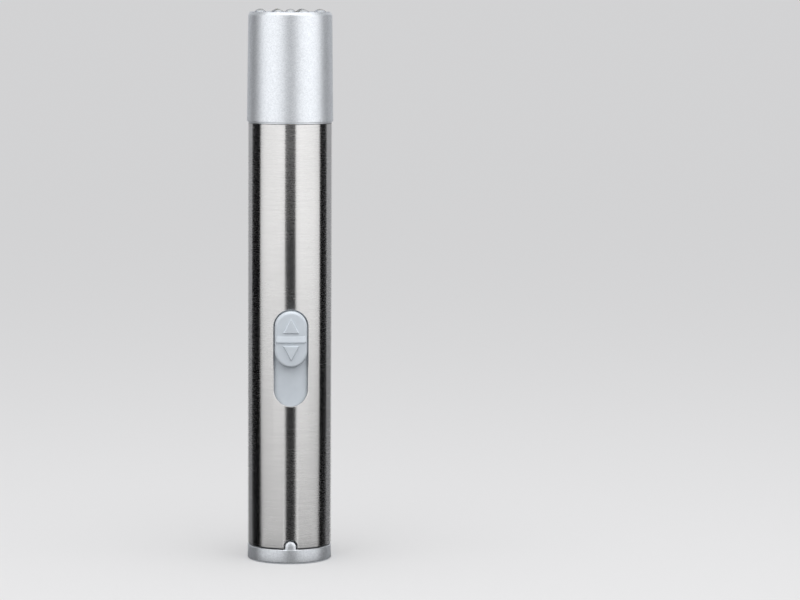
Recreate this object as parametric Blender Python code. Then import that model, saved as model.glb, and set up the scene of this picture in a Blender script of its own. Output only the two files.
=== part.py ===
"""Slim LED flashlight: a steel sleeve over a moulded chassis, clamped by a screw-on head.

The axis is Z, the base stands on z = 0 and the thumb slider faces -Y.
Sizes are written in millimetres times MM, because the scene is in metres.
"""
from math import asin, cos, degrees, pi, radians, sin, sqrt

import bmesh
import bpy
from mathutils import Matrix, Vector

MM = 0.001

# Clearances
SEAT_GAP = 0.3 * MM           # between pieces that rest on or butt against each other
STRIP_SEAT = 0.06 * MM        # under the flat brass strips
MERGE_DISTANCE = 0.0001 * MM

# Facets
ROUND_STEPS = 64
INNER_STEPS = 48
SMALL_STEPS = 32
LED_STEPS = 18
FILLET_STEPS = 3
SHARP_ANGLE = radians(32)

# Steel sleeve, 18 mm over what it holds
SLEEVE_WALL = 0.5 * MM
SLEEVE_DEBURR = 0.12 * MM
CELLS_ABOVE_SLEEVE = 6.6 * MM    # how far the cells stand out of it, up into the head

# Tail cap with its key
TAIL_RING_HEIGHT = 3.1 * MM
TAIL_EDGE_RADIUS = 0.45 * MM
SPIGOT_LENGTH = 2.6 * MM
SPIGOT_CLEARANCE = 0.2 * MM
KEY_WIDTH = 2.3 * MM
KEY_HEIGHT = 1.8 * MM
KEY_THICKNESS = 0.55 * MM
KEY_CLEARANCE = 0.35 * MM
LUG_WIDTH = 2.4 * MM
LUG_HEIGHT = 0.8 * MM
LUG_REACH = 0.6 * MM
LUG_RISE = 1.1 * MM           # from the flange's top face to the lug's underside

# Slot in the sleeve
SLOT_WIDTH = 7.3 * MM
SLOT_LENGTH = 20.7 * MM
SLOT_BOTTOM = 34.0 * MM       # height above the base

# Thumb slider
KNOB_SIDE_CLEARANCE = 0.2 * MM
KNOB_END_CLEARANCE = 0.25 * MM
KNOB_LENGTH = 12.0 * MM
KNOB_PROUD = 1.25 * MM        # how far its face stands over the sleeve
KNOB_EDGE_RADIUS = 0.6 * MM
RELIEF_HEIGHT = 0.25 * MM
BAR_HEIGHT = 1.3 * MM
ARROW_WIDTH = 3.25 * MM
ARROW_HEIGHT = 3.05 * MM
ARROW_SPACING = 0.75 * MM     # between the bar and each arrowhead's flat side
APRON_THICKNESS = 0.9 * MM
APRON_SLEEVE_CLEARANCE = 0.3 * MM
APRON_OVERLAP = 1.0 * MM      # how far it stays behind the slot's edge, everywhere
BED_CLEARANCE = 0.2 * MM

# Dry cells, a standard size
CELL_RADIUS = 5.25 * MM
CELL_LENGTH = 44.5 * MM       # with its button
CELL_CAP_RADIUS = 1.8 * MM
CELL_CAP_HEIGHT = 1.1 * MM    # of the button over the can
CELL_COUNT = 2
CELL_CLEARANCE = 0.25 * MM
CELL_EDGE_RADIUS = 0.5 * MM

# Chassis
CHASSIS_SLEEVE_CLEARANCE = 0.3 * MM
CHASSIS_WALL = 0.9 * MM
COLLAR_LENGTH = 7.0 * MM
RIB_THICKNESS = 1.0 * MM
RIB_SPACING = 8.0 * MM
NOSE_LENGTH = 8.7 * MM        # above the sleeve's top edge
NOSE_STEP = 0.6 * MM          # from the chassis inside the sleeve down to the nose
THREAD_LEAD_IN = 0.5 * MM

# O-ring round the foot of the nose
RING_WIRE_RADIUS = 0.5 * MM
RING_SQUEEZE_GAP = 0.08 * MM  # to the head's bore
RING_GROOVE_GAP = 0.1 * MM
RING_HEIGHT = 1.3 * MM        # of its centre above the sleeve's top edge

# Brass strips and the switch's bridge
STRIP_WIDTH = 2.6 * MM
STRIP_THICKNESS = 0.25 * MM
STRIP_FLOOR_WALL = 0.55 * MM     # of the chassis between the cells and the strips
STRIP_GROOVE_CLEARANCE = 0.3 * MM
STRIP_GAP = 5.0 * MM          # the insulating gap that the bridge crosses
TAIL_PLATE_CLEARANCE = 0.9 * MM
BRIDGE_ROOM = 0.94 * MM       # between the strips and the slide plate
BRIDGE_WIDTH = 2.2 * MM
BRIDGE_THICKNESS = 0.2 * MM
BRIDGE_SPAN = 8.0 * MM        # between its two contact points
BRIDGE_CONTACT_GAP = 0.1 * MM
BRIDGE_MOUNT_LENGTH = 3.0 * MM

# Springs
WIRE_RADIUS = 0.25 * MM
TAIL_SPRING_HEIGHT = 4.7 * MM
TAIL_SPRING_TURNS = 3
TAIL_SPRING_WIDE_RADIUS = 4.0 * MM
TAIL_SPRING_NARROW_RADIUS = 2.8 * MM
HEAD_SPRING_TURNS = 6
HEAD_SPRING_WIDE_RADIUS = 3.2 * MM
HEAD_SPRING_NARROW_RADIUS = 1.6 * MM
POINTS_PER_CURL = 10

# Head
HEAD_LENGTH = 23.3 * MM
HEAD_FOOT_PROUD = 0.23 * MM   # wider than the sleeve below
HEAD_TAPER = 0.26 * MM        # of its radius, from foot to top
HEAD_TOP_EDGE = 0.3 * MM
HEAD_FOOT_EDGE = 0.2 * MM
THREAD_CLEARANCE = 0.3 * MM
FRONT_WALL = 0.35 * MM        # round the light module, at the rim

# Light module
BOARD_THICKNESS = 1.2 * MM
MODULE_CLEARANCE = 0.08 * MM
LED_COUNT_ON_RING = 8
LED_EDGE_WEB = 0.2 * MM       # of the holder outside the ring of LEDs
LED_BODY_RADIUS = 1.45 * MM
LED_FLANGE_RADIUS = 1.65 * MM
LED_FLANGE_HEIGHT = 0.8 * MM
LED_LENGTH = 5.2 * MM
LED_TIP_PROUD = 0.6 * MM      # over the head's rim
LED_HOLE_CLEARANCE = 0.06 * MM
LEAD_SPACING = 2.54 * MM
LEAD_THICKNESS = 0.5 * MM
LEAD_HOLE_RADIUS = 0.48 * MM
LEAD_TAIL = 0.2 * MM          # below the board, cut short over the ground sleeve
HOLDER_THICKNESS = 2.4 * MM
HOLDER_CUP_DEPTH = 0.7 * MM
HOLDER_CUP_FLARE = 0.14 * MM
GROUND_WALL = 0.3 * MM
GROUND_CLEARANCE = 0.4 * MM
GROUND_FOOT_WIDTH = 1.3 * MM
RESISTOR_SIZE = (1.6 * MM, 3.2 * MM, 0.6 * MM)
RESISTOR_DISTANCE = 5.4 * MM

# Heights and radii that follow from the sizes above
CELL_BORE = CELL_RADIUS + CELL_CLEARANCE
CORE_RADIUS = CELL_BORE + CHASSIS_WALL
STRIP_GROOVE_FLOOR = CELL_BORE + STRIP_FLOOR_WALL
STRIP_INNER = STRIP_GROOVE_FLOOR + STRIP_SEAT
STRIP_OUTER = STRIP_INNER + STRIP_THICKNESS
APRON_INNER = STRIP_OUTER + BRIDGE_ROOM
APRON_OUTER = APRON_INNER + APRON_THICKNESS
SLEEVE_BORE = APRON_OUTER + APRON_SLEEVE_CLEARANCE
SLEEVE_RADIUS = SLEEVE_BORE + SLEEVE_WALL
CHASSIS_RADIUS = SLEEVE_BORE - CHASSIS_SLEEVE_CLEARANCE
NOSE_RADIUS = CHASSIS_RADIUS - NOSE_STEP
TAIL_PLATE_RADIUS = CELL_BORE - TAIL_PLATE_CLEARANCE

TAIL_PLATE_BOTTOM = TAIL_RING_HEIGHT + SPIGOT_LENGTH + STRIP_SEAT
TAIL_PLATE_TOP = TAIL_PLATE_BOTTOM + STRIP_THICKNESS
TAIL_SPRING_FOOT = TAIL_PLATE_TOP + SEAT_GAP
CELL_STACK_FOOT = TAIL_SPRING_FOOT + TAIL_SPRING_HEIGHT + SEAT_GAP
CELL_STACK_TOP = CELL_STACK_FOOT + CELL_COUNT * CELL_LENGTH + (CELL_COUNT - 1) * SEAT_GAP
SLEEVE_FOOT = TAIL_RING_HEIGHT + SEAT_GAP
SLEEVE_TOP = CELL_STACK_TOP - CELLS_ABOVE_SLEEVE
CHASSIS_FOOT = TAIL_RING_HEIGHT + SEAT_GAP
NOSE_TOP = SLEEVE_TOP + NOSE_LENGTH
RING_Z = SLEEVE_TOP + RING_HEIGHT

SLOT_TOP = SLOT_BOTTOM + SLOT_LENGTH
KNOB_WIDTH = SLOT_WIDTH - 2 * KNOB_SIDE_CLEARANCE
KNOB_TOP = SLOT_TOP - KNOB_END_CLEARANCE
KNOB_BOTTOM = KNOB_TOP - KNOB_LENGTH
KNOB_CENTRE = (KNOB_TOP + KNOB_BOTTOM) / 2
KNOB_FACE_RADIUS = SLEEVE_RADIUS + KNOB_PROUD
SLIDER_TRAVEL = KNOB_BOTTOM - SLOT_BOTTOM - KNOB_END_CLEARANCE
APRON_HALF_WIDTH = SLOT_WIDTH / 2 + APRON_OVERLAP
APRON_BOTTOM = SLOT_BOTTOM - APRON_OVERLAP
APRON_TOP = SLOT_TOP + SLIDER_TRAVEL + APRON_OVERLAP
BED_RADIUS = APRON_INNER - BED_CLEARANCE
BED_BOTTOM = APRON_BOTTOM - SLIDER_TRAVEL - SEAT_GAP
BED_TOP = APRON_TOP + SEAT_GAP
BED_HALF_ANGLE = asin(APRON_HALF_WIDTH / APRON_INNER) + BED_CLEARANCE / APRON_INNER

STRIP_GAP_CENTRE = KNOB_CENTRE - SLIDER_TRAVEL

HEAD_FOOT = SLEEVE_TOP + SEAT_GAP
HEAD_TOP = HEAD_FOOT + HEAD_LENGTH
HEAD_FOOT_RADIUS = SLEEVE_RADIUS + HEAD_FOOT_PROUD
HEAD_TOP_RADIUS = HEAD_FOOT_RADIUS - HEAD_TAPER
THREAD_BORE = NOSE_RADIUS + THREAD_CLEARANCE
FRONT_BORE = HEAD_TOP_RADIUS - FRONT_WALL
MODULE_RADIUS = FRONT_BORE - MODULE_CLEARANCE
LED_RING_RADIUS = MODULE_RADIUS - LED_EDGE_WEB - LED_BODY_RADIUS
LED_TIP = HEAD_TOP + LED_TIP_PROUD
LED_FOOT = LED_TIP - LED_LENGTH
BOARD_TOP = LED_FOOT - SEAT_GAP
BOARD_BOTTOM = BOARD_TOP - BOARD_THICKNESS
POCKET_FLOOR = BOARD_BOTTOM - SEAT_GAP
HOLDER_BOTTOM = LED_FOOT + LED_FLANGE_HEIGHT + SEAT_GAP
HOLDER_TOP = HOLDER_BOTTOM + HOLDER_THICKNESS
GROUND_FOOT = NOSE_TOP + STRIP_SEAT + STRIP_THICKNESS + SEAT_GAP
GROUND_OUTER = THREAD_BORE - GROUND_CLEARANCE
HEAD_SPRING_FOOT = CELL_STACK_TOP + SEAT_GAP
HEAD_SPRING_TOP = BOARD_BOTTOM - SEAT_GAP


def clear_scene():
    """Start from an empty file."""
    for old in list(bpy.data.objects):
        bpy.data.objects.remove(old, do_unlink=True)


def make_material(name, colour, roughness, metallic=0.0, transmission=0.0):
    """One plain Principled material."""
    material = bpy.data.materials.new(name)
    material.use_nodes = True
    shader = material.node_tree.nodes["Principled BSDF"]
    shader.inputs["Base Color"].default_value = (*colour, 1.0)
    shader.inputs["Roughness"].default_value = roughness
    shader.inputs["Metallic"].default_value = metallic
    shader.inputs["Transmission Weight"].default_value = transmission
    material.diffuse_color = (*colour, 1.0)
    return material


def finish_object(name, mesh_data, material):
    """Close the mesh's normals outward, shade it and link it as one named object."""
    bmesh.ops.remove_doubles(mesh_data, verts=mesh_data.verts, dist=MERGE_DISTANCE)
    bmesh.ops.recalc_face_normals(mesh_data, faces=mesh_data.faces)
    mesh = bpy.data.meshes.new(name)
    mesh_data.to_mesh(mesh)
    mesh_data.free()
    if material is not None:
        mesh.materials.append(material)
    mesh.shade_smooth()
    mesh.set_sharp_from_angle(angle=SHARP_ANGLE)
    item = bpy.data.objects.new(name, mesh)
    bpy.context.scene.collection.objects.link(item)
    return item


def fillet(centre, radius, start, end, steps=FILLET_STEPS):
    """Points of an arc in the profile plane, as (distance from the axis, height)."""
    points = []
    for step in range(steps + 1):
        angle = radians(start + (end - start) * step / steps)
        points.append((centre[0] + radius * cos(angle), centre[1] + radius * sin(angle)))
    return points


def turned(name, profile, material=None, steps=ROUND_STEPS, half_angle=pi):
    """Spin a profile of (radius, height) points about Z, all round or either side of -Y."""
    body = bmesh.new()
    start = -pi / 2 - half_angle
    corners = [body.verts.new((r * cos(start), r * sin(start), z)) for r, z in profile]
    edges = [body.edges.new(pair) for pair in zip(corners, corners[1:])]
    if profile[0][0] > 0:
        edges.append(body.edges.new((corners[-1], corners[0])))
    bmesh.ops.spin(body, geom=corners + edges, cent=(0, 0, 0), axis=(0, 0, 1),
                   angle=2 * half_angle, steps=steps)
    bmesh.ops.remove_doubles(body, verts=body.verts, dist=MERGE_DISTANCE)
    open_edges = [edge for edge in body.edges if edge.is_boundary]
    if open_edges:
        bmesh.ops.holes_fill(body, edges=open_edges, sides=0)
    return finish_object(name, body, material)


def extruded(name, outline, direction, material=None):
    """A flat outline of 3-D points, pushed along a vector."""
    body = bmesh.new()
    face = body.faces.new([body.verts.new(point) for point in outline])
    pushed = bmesh.ops.extrude_face_region(body, geom=[face])
    moved = [item for item in pushed["geom"] if isinstance(item, bmesh.types.BMVert)]
    bmesh.ops.translate(body, vec=direction, verts=moved)
    return finish_object(name, body, material)


def box(name, low, high, material=None):
    """A block between two corners."""
    outline = [(low[0], low[1], low[2]), (high[0], low[1], low[2]),
               (high[0], high[1], low[2]), (low[0], high[1], low[2])]
    return extruded(name, outline, Vector((0, 0, high[2] - low[2])), material)


def prism_along_y(name, outline, front, back, material=None):
    """An outline of (x, z) points, solid from y = -front to y = -back."""
    points = [(x, -front, z) for x, z in outline]
    return extruded(name, points, Vector((0, front - back, 0)), material)


def curved_plate(name, columns, inner, outer, material=None):
    """A plate bent about Z in front of the axis, from (x, low z, high z) columns."""
    body = bmesh.new()
    rings = []
    for x, low, high in columns:
        near = -sqrt(inner ** 2 - x ** 2)
        far = -sqrt(outer ** 2 - x ** 2)
        corners = [(x, near, low), (x, far, low), (x, far, high), (x, near, high)]
        rings.append([body.verts.new(corner) for corner in corners])
    for left, right in zip(rings, rings[1:]):
        for side in range(4):
            after = (side + 1) % 4
            body.faces.new((left[side], left[after], right[after], right[side]))
    body.faces.new(rings[0])
    body.faces.new(rings[-1])
    return finish_object(name, body, material)


def change(target, tool, operation):
    """Cut or join with another object, which stays in the file as a hidden guide."""
    modifier = target.modifiers.new(f"{operation.lower()} {tool.name}", "BOOLEAN")
    modifier.operation = operation
    modifier.solver = "EXACT"
    modifier.object = tool
    tool.hide_render = True
    tool.display_type = "WIRE"
    tool.parent = target


def joined(name, pieces):
    """Several loose cutters as one object."""
    body = bmesh.new()
    for piece in pieces:
        body.from_mesh(piece.data)
        bpy.data.objects.remove(piece, do_unlink=True)
    return finish_object(name, body, None)


def stadium(width, bottom, top, steps=10):
    """A round-ended upright outline of (x, z) points."""
    half = width / 2
    upper = [(half * cos(pi * s / steps), top - half + half * sin(pi * s / steps))
             for s in range(steps + 1)]
    lower = [(-half * cos(pi * s / steps), bottom + half - half * sin(pi * s / steps))
             for s in range(steps + 1)]
    return upper + lower


def arch(width, bottom, top, steps=8):
    """An outline that is square below and half round on top."""
    half = width / 2
    crown = [(half * cos(pi * s / steps), top - half + half * sin(pi * s / steps))
             for s in range(steps + 1)]
    return [(-half, bottom), (half, bottom)] + crown


def make_sleeve(steel):
    """The brushed tube, with the slider's slot and the key's notch."""
    chamfer = SLEEVE_DEBURR
    profile = [(SLEEVE_BORE, SLEEVE_FOOT), (SLEEVE_RADIUS - chamfer, SLEEVE_FOOT),
               (SLEEVE_RADIUS, SLEEVE_FOOT + chamfer), (SLEEVE_RADIUS, SLEEVE_TOP - chamfer),
               (SLEEVE_RADIUS - chamfer, SLEEVE_TOP), (SLEEVE_BORE, SLEEVE_TOP)]
    sleeve = turned("steel_sleeve", profile, steel)
    slot = prism_along_y("slot_cutter", stadium(SLOT_WIDTH, SLOT_BOTTOM, SLOT_TOP),
                         2 * SLEEVE_RADIUS, SLEEVE_RADIUS / 2)
    change(sleeve, slot, "DIFFERENCE")
    notch_outline = arch(KEY_WIDTH + 2 * KEY_CLEARANCE, SLEEVE_FOOT - SEAT_GAP,
                         TAIL_RING_HEIGHT + KEY_HEIGHT + KEY_CLEARANCE)
    notch = prism_along_y("notch_cutter", notch_outline, 2 * SLEEVE_RADIUS, SLEEVE_RADIUS / 2)
    change(sleeve, notch, "DIFFERENCE")
    return sleeve


def make_tail_cap(paint):
    """The foot ring, its key in the sleeve's notch and the plug with two snap lugs."""
    edge = TAIL_EDGE_RADIUS
    plug = CELL_BORE - SPIGOT_CLEARANCE
    plug_top = TAIL_RING_HEIGHT + SPIGOT_LENGTH
    profile = [(0, 0)]
    profile += fillet((SLEEVE_RADIUS - edge, edge), edge, -90, 0)
    profile += [(SLEEVE_RADIUS, TAIL_RING_HEIGHT - SLEEVE_DEBURR),
                (SLEEVE_RADIUS - SLEEVE_DEBURR, TAIL_RING_HEIGHT),
                (plug, TAIL_RING_HEIGHT), (plug, plug_top), (0, plug_top)]
    cap = turned("tail_cap", profile, paint)
    key_face = SLEEVE_RADIUS + SLEEVE_DEBURR / 2
    key = prism_along_y("tail_key", arch(KEY_WIDTH, TAIL_RING_HEIGHT / 2, TAIL_RING_HEIGHT + KEY_HEIGHT),
                        key_face, key_face - KEY_THICKNESS)
    change(cap, key, "UNION")
    lug_low = TAIL_RING_HEIGHT + LUG_RISE
    for side, label in ((-1, "left"), (1, "right")):
        ends = sorted((side * plug / 2, side * (plug + LUG_REACH)))
        lug = box(f"{label}_snap_lug", (ends[0], -LUG_WIDTH / 2, lug_low),
                  (ends[1], LUG_WIDTH / 2, lug_low + LUG_HEIGHT))
        change(cap, lug, "UNION")
    return cap


def chassis_profile():
    """Bore, foot collar, rings of ribs, solid slide bed, neck and nose, as one outline."""
    inner = CELL_BORE
    rib_low = CHASSIS_FOOT + COLLAR_LENGTH
    points = [(inner, CHASSIS_FOOT), (CHASSIS_RADIUS, CHASSIS_FOOT), (CHASSIS_RADIUS, rib_low)]
    bed_low = BED_BOTTOM - COLLAR_LENGTH / 2
    bed_high = BED_TOP + COLLAR_LENGTH / 2
    neck_low = SLEEVE_TOP - COLLAR_LENGTH
    for low, high in ((rib_low, bed_low), (bed_high, neck_low)):
        count = max(int((high - low) / RIB_SPACING), 1)
        pitch = (high - low) / count
        for number in range(count):
            foot = low + number * pitch
            points += [(CORE_RADIUS, foot), (CORE_RADIUS, foot + pitch - RIB_THICKNESS)]
            if number < count - 1:
                points += [(CHASSIS_RADIUS, foot + pitch - RIB_THICKNESS),
                           (CHASSIS_RADIUS, foot + pitch)]
            else:
                points += [(CHASSIS_RADIUS, foot + pitch - RIB_THICKNESS)]
        if low == rib_low:
            points += [(CHASSIS_RADIUS, bed_high)]
    groove_half = RING_WIRE_RADIUS + RING_GROOVE_GAP
    groove_floor = THREAD_BORE - RING_SQUEEZE_GAP - 2 * RING_WIRE_RADIUS - RING_GROOVE_GAP
    points += [(CHASSIS_RADIUS, SLEEVE_TOP - SEAT_GAP), (NOSE_RADIUS, SLEEVE_TOP - SEAT_GAP),
               (NOSE_RADIUS, RING_Z - groove_half), (groove_floor, RING_Z - groove_half),
               (groove_floor, RING_Z + groove_half), (NOSE_RADIUS, RING_Z + groove_half),
               (NOSE_RADIUS, NOSE_TOP - THREAD_LEAD_IN), (NOSE_RADIUS - THREAD_LEAD_IN, NOSE_TOP),
               (inner, NOSE_TOP)]
    return points


def make_chassis(plastic):
    """The moulded carrier that everything else is hung on."""
    chassis = turned("chassis", chassis_profile(), plastic, INNER_STEPS)
    bed = turned("slide_bed_cutter",
                 [(BED_RADIUS, BED_BOTTOM), (SLEEVE_RADIUS, BED_BOTTOM),
                  (SLEEVE_RADIUS, BED_TOP), (BED_RADIUS, BED_TOP)],
                 steps=12, half_angle=BED_HALF_ANGLE)
    change(chassis, bed, "DIFFERENCE")
    groove_half = STRIP_WIDTH / 2 + STRIP_GROOVE_CLEARANCE
    groove = box("strip_groove_cutter", (-groove_half, -2 * SLEEVE_RADIUS, CHASSIS_FOOT - SEAT_GAP),
                 (groove_half, -STRIP_GROOVE_FLOOR, NOSE_TOP + SEAT_GAP))
    change(chassis, groove, "DIFFERENCE")
    entry = box("strip_entry_cutter", (-groove_half, -SLEEVE_RADIUS, CHASSIS_FOOT - SEAT_GAP),
                (groove_half, -CELL_BORE / 2, TAIL_PLATE_TOP + SEAT_GAP))
    change(chassis, entry, "DIFFERENCE")
    lug_low = TAIL_RING_HEIGHT + LUG_RISE
    window = box("snap_window_cutter",
                 (-SLEEVE_RADIUS, -LUG_WIDTH / 2 - SEAT_GAP, lug_low - SEAT_GAP),
                 (SLEEVE_RADIUS, LUG_WIDTH / 2 + SEAT_GAP, lug_low + LUG_HEIGHT + SEAT_GAP))
    change(chassis, window, "DIFFERENCE")
    return chassis


def strip_outline(path):
    """A bent strip's side view: (distance in front of the axis, height) points, given a thickness."""
    outer = []
    inner = []
    for number, here in enumerate(path):
        before = path[max(number - 1, 0)]
        after = path[min(number + 1, len(path) - 1)]
        first = (Vector(here) - Vector(before)).normalized() if number else None
        second = (Vector(after) - Vector(here)).normalized() if number < len(path) - 1 else None
        heading = ((first or second) + (second or first)).normalized()
        side = Vector((heading.y, -heading.x))
        plain = Vector(((second or first).y, -(second or first).x))
        reach = side / side.dot(plain)
        outer.append(Vector(here))
        inner.append(Vector(here) - reach * STRIP_THICKNESS)
    return outer + inner[::-1]


def bent_strip(name, path, width, material):
    """A strip that follows a side view and has one width."""
    outline = [(-width / 2, -point.x, point.y) for point in strip_outline(path)]
    return extruded(name, outline, Vector((width, 0, 0)), material)


def make_lower_strip(brass):
    """The tail plate under the spring, with a tail that climbs into the slide bed."""
    top = STRIP_GAP_CENTRE - STRIP_GAP / 2
    path = [(0, TAIL_PLATE_BOTTOM), (STRIP_OUTER, TAIL_PLATE_BOTTOM), (STRIP_OUTER, top)]
    strip = bent_strip("lower_contact_strip", path, STRIP_WIDTH, brass)
    plate = turned("tail_plate", [(0, TAIL_PLATE_BOTTOM), (TAIL_PLATE_RADIUS, TAIL_PLATE_BOTTOM),
                                  (TAIL_PLATE_RADIUS, TAIL_PLATE_TOP), (0, TAIL_PLATE_TOP)],
                   steps=SMALL_STEPS)
    change(strip, plate, "UNION")
    return strip


def make_upper_strip(brass):
    """From the switch up to a tab folded over the nose's end."""
    foot = STRIP_GAP_CENTRE + STRIP_GAP / 2
    fold = NOSE_TOP + STRIP_SEAT + STRIP_THICKNESS
    path = [(STRIP_OUTER, foot), (STRIP_OUTER, fold), (CELL_BORE + STRIP_THICKNESS, fold)]
    return bent_strip("upper_contact_strip", path, STRIP_WIDTH, brass)


def knob_ring(inset, radius, steps=11):
    """The knob's outline, drawn in by an inset and laid on a cylinder round the axis."""
    outline = stadium(KNOB_WIDTH - 2 * inset, KNOB_BOTTOM + inset, KNOB_TOP - inset, steps)
    return [(x, -sqrt(radius ** 2 - x ** 2), z) for x, z in outline]


def make_knob_block():
    """The round-ended block with a rolled edge, its face curved like the sleeve."""
    body = bmesh.new()
    levels = [(0, APRON_OUTER - APRON_THICKNESS / 2)]
    for step in range(FILLET_STEPS + 1):
        angle = pi / 2 * step / FILLET_STEPS
        levels.append((KNOB_EDGE_RADIUS * (1 - cos(angle)),
                       KNOB_FACE_RADIUS - KNOB_EDGE_RADIUS * (1 - sin(angle))))
    rings = [[body.verts.new(point) for point in knob_ring(*level)] for level in levels]
    count = len(rings[0])
    for below, above in zip(rings, rings[1:]):
        for here in range(count):
            after = (here + 1) % count
            body.faces.new((below[here], below[after], above[after], above[here]))
    for ring in (rings[0], rings[-1]):
        half = count // 2
        for here in range(half - 1):
            body.faces.new((ring[here], ring[here + 1], ring[count - 2 - here], ring[count - 1 - here]))
    return finish_object("knob_block", body, None)


def even_columns(half_width, edges, count=12):
    """Columns for a curved plate: edges(x) gives its low and high z."""
    places = [half_width * (2 * step / count - 1) for step in range(count + 1)]
    return [(x, *edges(x)) for x in places]


def make_switch_knob(plastic):
    """The slide plate with the thumb block, its bar and two arrowheads in relief."""
    knob = curved_plate("switch_knob",
                        even_columns(APRON_HALF_WIDTH, lambda x: (APRON_BOTTOM, APRON_TOP)),
                        APRON_INNER, APRON_OUTER, plastic)
    change(knob, make_knob_block(), "UNION")
    relief_inner = KNOB_FACE_RADIUS - RELIEF_HEIGHT
    relief_outer = KNOB_FACE_RADIUS + RELIEF_HEIGHT
    bar_half = KNOB_WIDTH / 2 - KNOB_EDGE_RADIUS / 2
    bar = curved_plate("grip_bar",
                       even_columns(bar_half, lambda x: (KNOB_CENTRE - BAR_HEIGHT / 2,
                                                         KNOB_CENTRE + BAR_HEIGHT / 2)),
                       relief_inner, relief_outer)
    change(knob, bar, "UNION")
    flat = BAR_HEIGHT / 2 + ARROW_SPACING
    tip = RELIEF_HEIGHT / 4
    for sign, label in ((1, "upper"), (-1, "lower")):
        def edges(x, sign=sign):
            slope = (ARROW_HEIGHT - tip) * (1 - abs(x) / (ARROW_WIDTH / 2))
            ends = (KNOB_CENTRE + sign * flat, KNOB_CENTRE + sign * (flat + tip + slope))
            return sorted(ends)
        arrow = curved_plate(f"{label}_arrow", even_columns(ARROW_WIDTH / 2, edges, count=6),
                             relief_inner, relief_outer)
        change(knob, arrow, "UNION")
    return knob


def make_bridge(brass):
    """The springy bridge: a flat middle held under the slide plate and two bowed arms."""
    high = sqrt(APRON_INNER ** 2 - (BRIDGE_WIDTH / 2) ** 2) - STRIP_SEAT
    low = STRIP_OUTER + BRIDGE_CONTACT_GAP
    outer = []
    arm = BRIDGE_SPAN / 2
    middle = BRIDGE_MOUNT_LENGTH / 2
    steps = 6
    for side in (-1, 1):
        points = []
        for step in range(steps + 1):
            share = step / steps
            drop = (high - BRIDGE_THICKNESS - low) * (1 - cos(pi * share)) / 2
            points.append((high - drop, KNOB_CENTRE + side * (middle + (arm - middle) * share)))
        points.append((high - drop + BRIDGE_THICKNESS, KNOB_CENTRE + side * (arm + 2 * BRIDGE_THICKNESS)))
        outer += points[::-1] if side < 0 else points
    inner = [(y - BRIDGE_THICKNESS, z) for y, z in outer]
    outline = [(-BRIDGE_WIDTH / 2, -y, z) for y, z in outer + inner[::-1]]
    return extruded("switch_contact", outline, Vector((BRIDGE_WIDTH, 0, 0)), brass)


def make_cells(jacket, steel):
    """Dry cells in line: each a jacketed can with a steel button."""
    pieces = []
    for number, label in enumerate(("lower", "upper")[:CELL_COUNT]):
        foot = CELL_STACK_FOOT + number * (CELL_LENGTH + SEAT_GAP)
        shoulder = foot + CELL_LENGTH - CELL_CAP_HEIGHT
        edge = CELL_EDGE_RADIUS
        well = CELL_CAP_RADIUS + SEAT_GAP
        can = [(0, foot)]
        can += fillet((CELL_RADIUS - edge, foot + edge), edge, -90, 0, 2)
        can += fillet((CELL_RADIUS - edge, shoulder - edge), edge, 0, 90, 2)
        can += [(well, shoulder), (well, shoulder - edge), (0, shoulder - edge)]
        pieces.append(turned(f"{label}_cell_can", can, jacket, SMALL_STEPS))
        top = foot + CELL_LENGTH
        seat = shoulder - edge + SEAT_GAP
        button = [(0, seat), (CELL_CAP_RADIUS, seat)]
        button += fillet((CELL_CAP_RADIUS - edge / 2, top - edge / 2), edge / 2, 0, 90, 2)
        button += [(0, top)]
        pieces.append(turned(f"{label}_cell_cap", button, steel, SMALL_STEPS))
    return pieces


def coil(name, foot, height, foot_radius, top_radius, turns, material):
    """A tapered spring of round wire whose ends stand straight for one wire diameter."""
    lead = 2 * WIRE_RADIUS
    count = turns * POINTS_PER_CURL
    points = [Vector((foot_radius, 0, foot))]
    for step in range(count + 1):
        share = step / count
        angle = 2 * pi * turns * share
        radius = foot_radius + (top_radius - foot_radius) * share
        z = foot + lead + (height - 2 * lead) * share
        points.append(Vector((radius * cos(angle), radius * sin(angle), z)))
    points.append(Vector((points[-1].x, points[-1].y, foot + height)))
    curve = bpy.data.curves.new(name, "CURVE")
    curve.dimensions = "3D"
    curve.bevel_depth = WIRE_RADIUS
    curve.bevel_resolution = 1
    curve.use_fill_caps = True
    curve.render_resolution_u = 0
    spline = curve.splines.new("POLY")
    spline.points.add(len(points) - 1)
    for slot, point in zip(spline.points, points):
        slot.co = (*point, 1)
    curve.materials.append(material)
    item = bpy.data.objects.new(name, curve)
    bpy.context.scene.collection.objects.link(item)
    gap = least_coil_gap(points)
    print(f"{name}: {turns} turns, least gap between turns {gap / MM:.2f} mm")
    return item


def least_coil_gap(points):
    """Least clear distance between stretches of wire half a turn or more apart."""
    apart = POINTS_PER_CURL // 2
    least = min((points[a] - points[b]).length
                for a in range(len(points)) for b in range(a + apart, len(points)))
    return least - 2 * WIRE_RADIUS


def make_o_ring(rubber):
    """The seal in its groove round the foot of the nose."""
    centre = THREAD_BORE - RING_SQUEEZE_GAP - RING_WIRE_RADIUS
    section = [(centre + RING_WIRE_RADIUS * cos(2 * pi * s / 8),
                RING_Z + RING_WIRE_RADIUS * sin(2 * pi * s / 8)) for s in range(8)]
    return turned("neck_o_ring", section, rubber, SMALL_STEPS)


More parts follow.
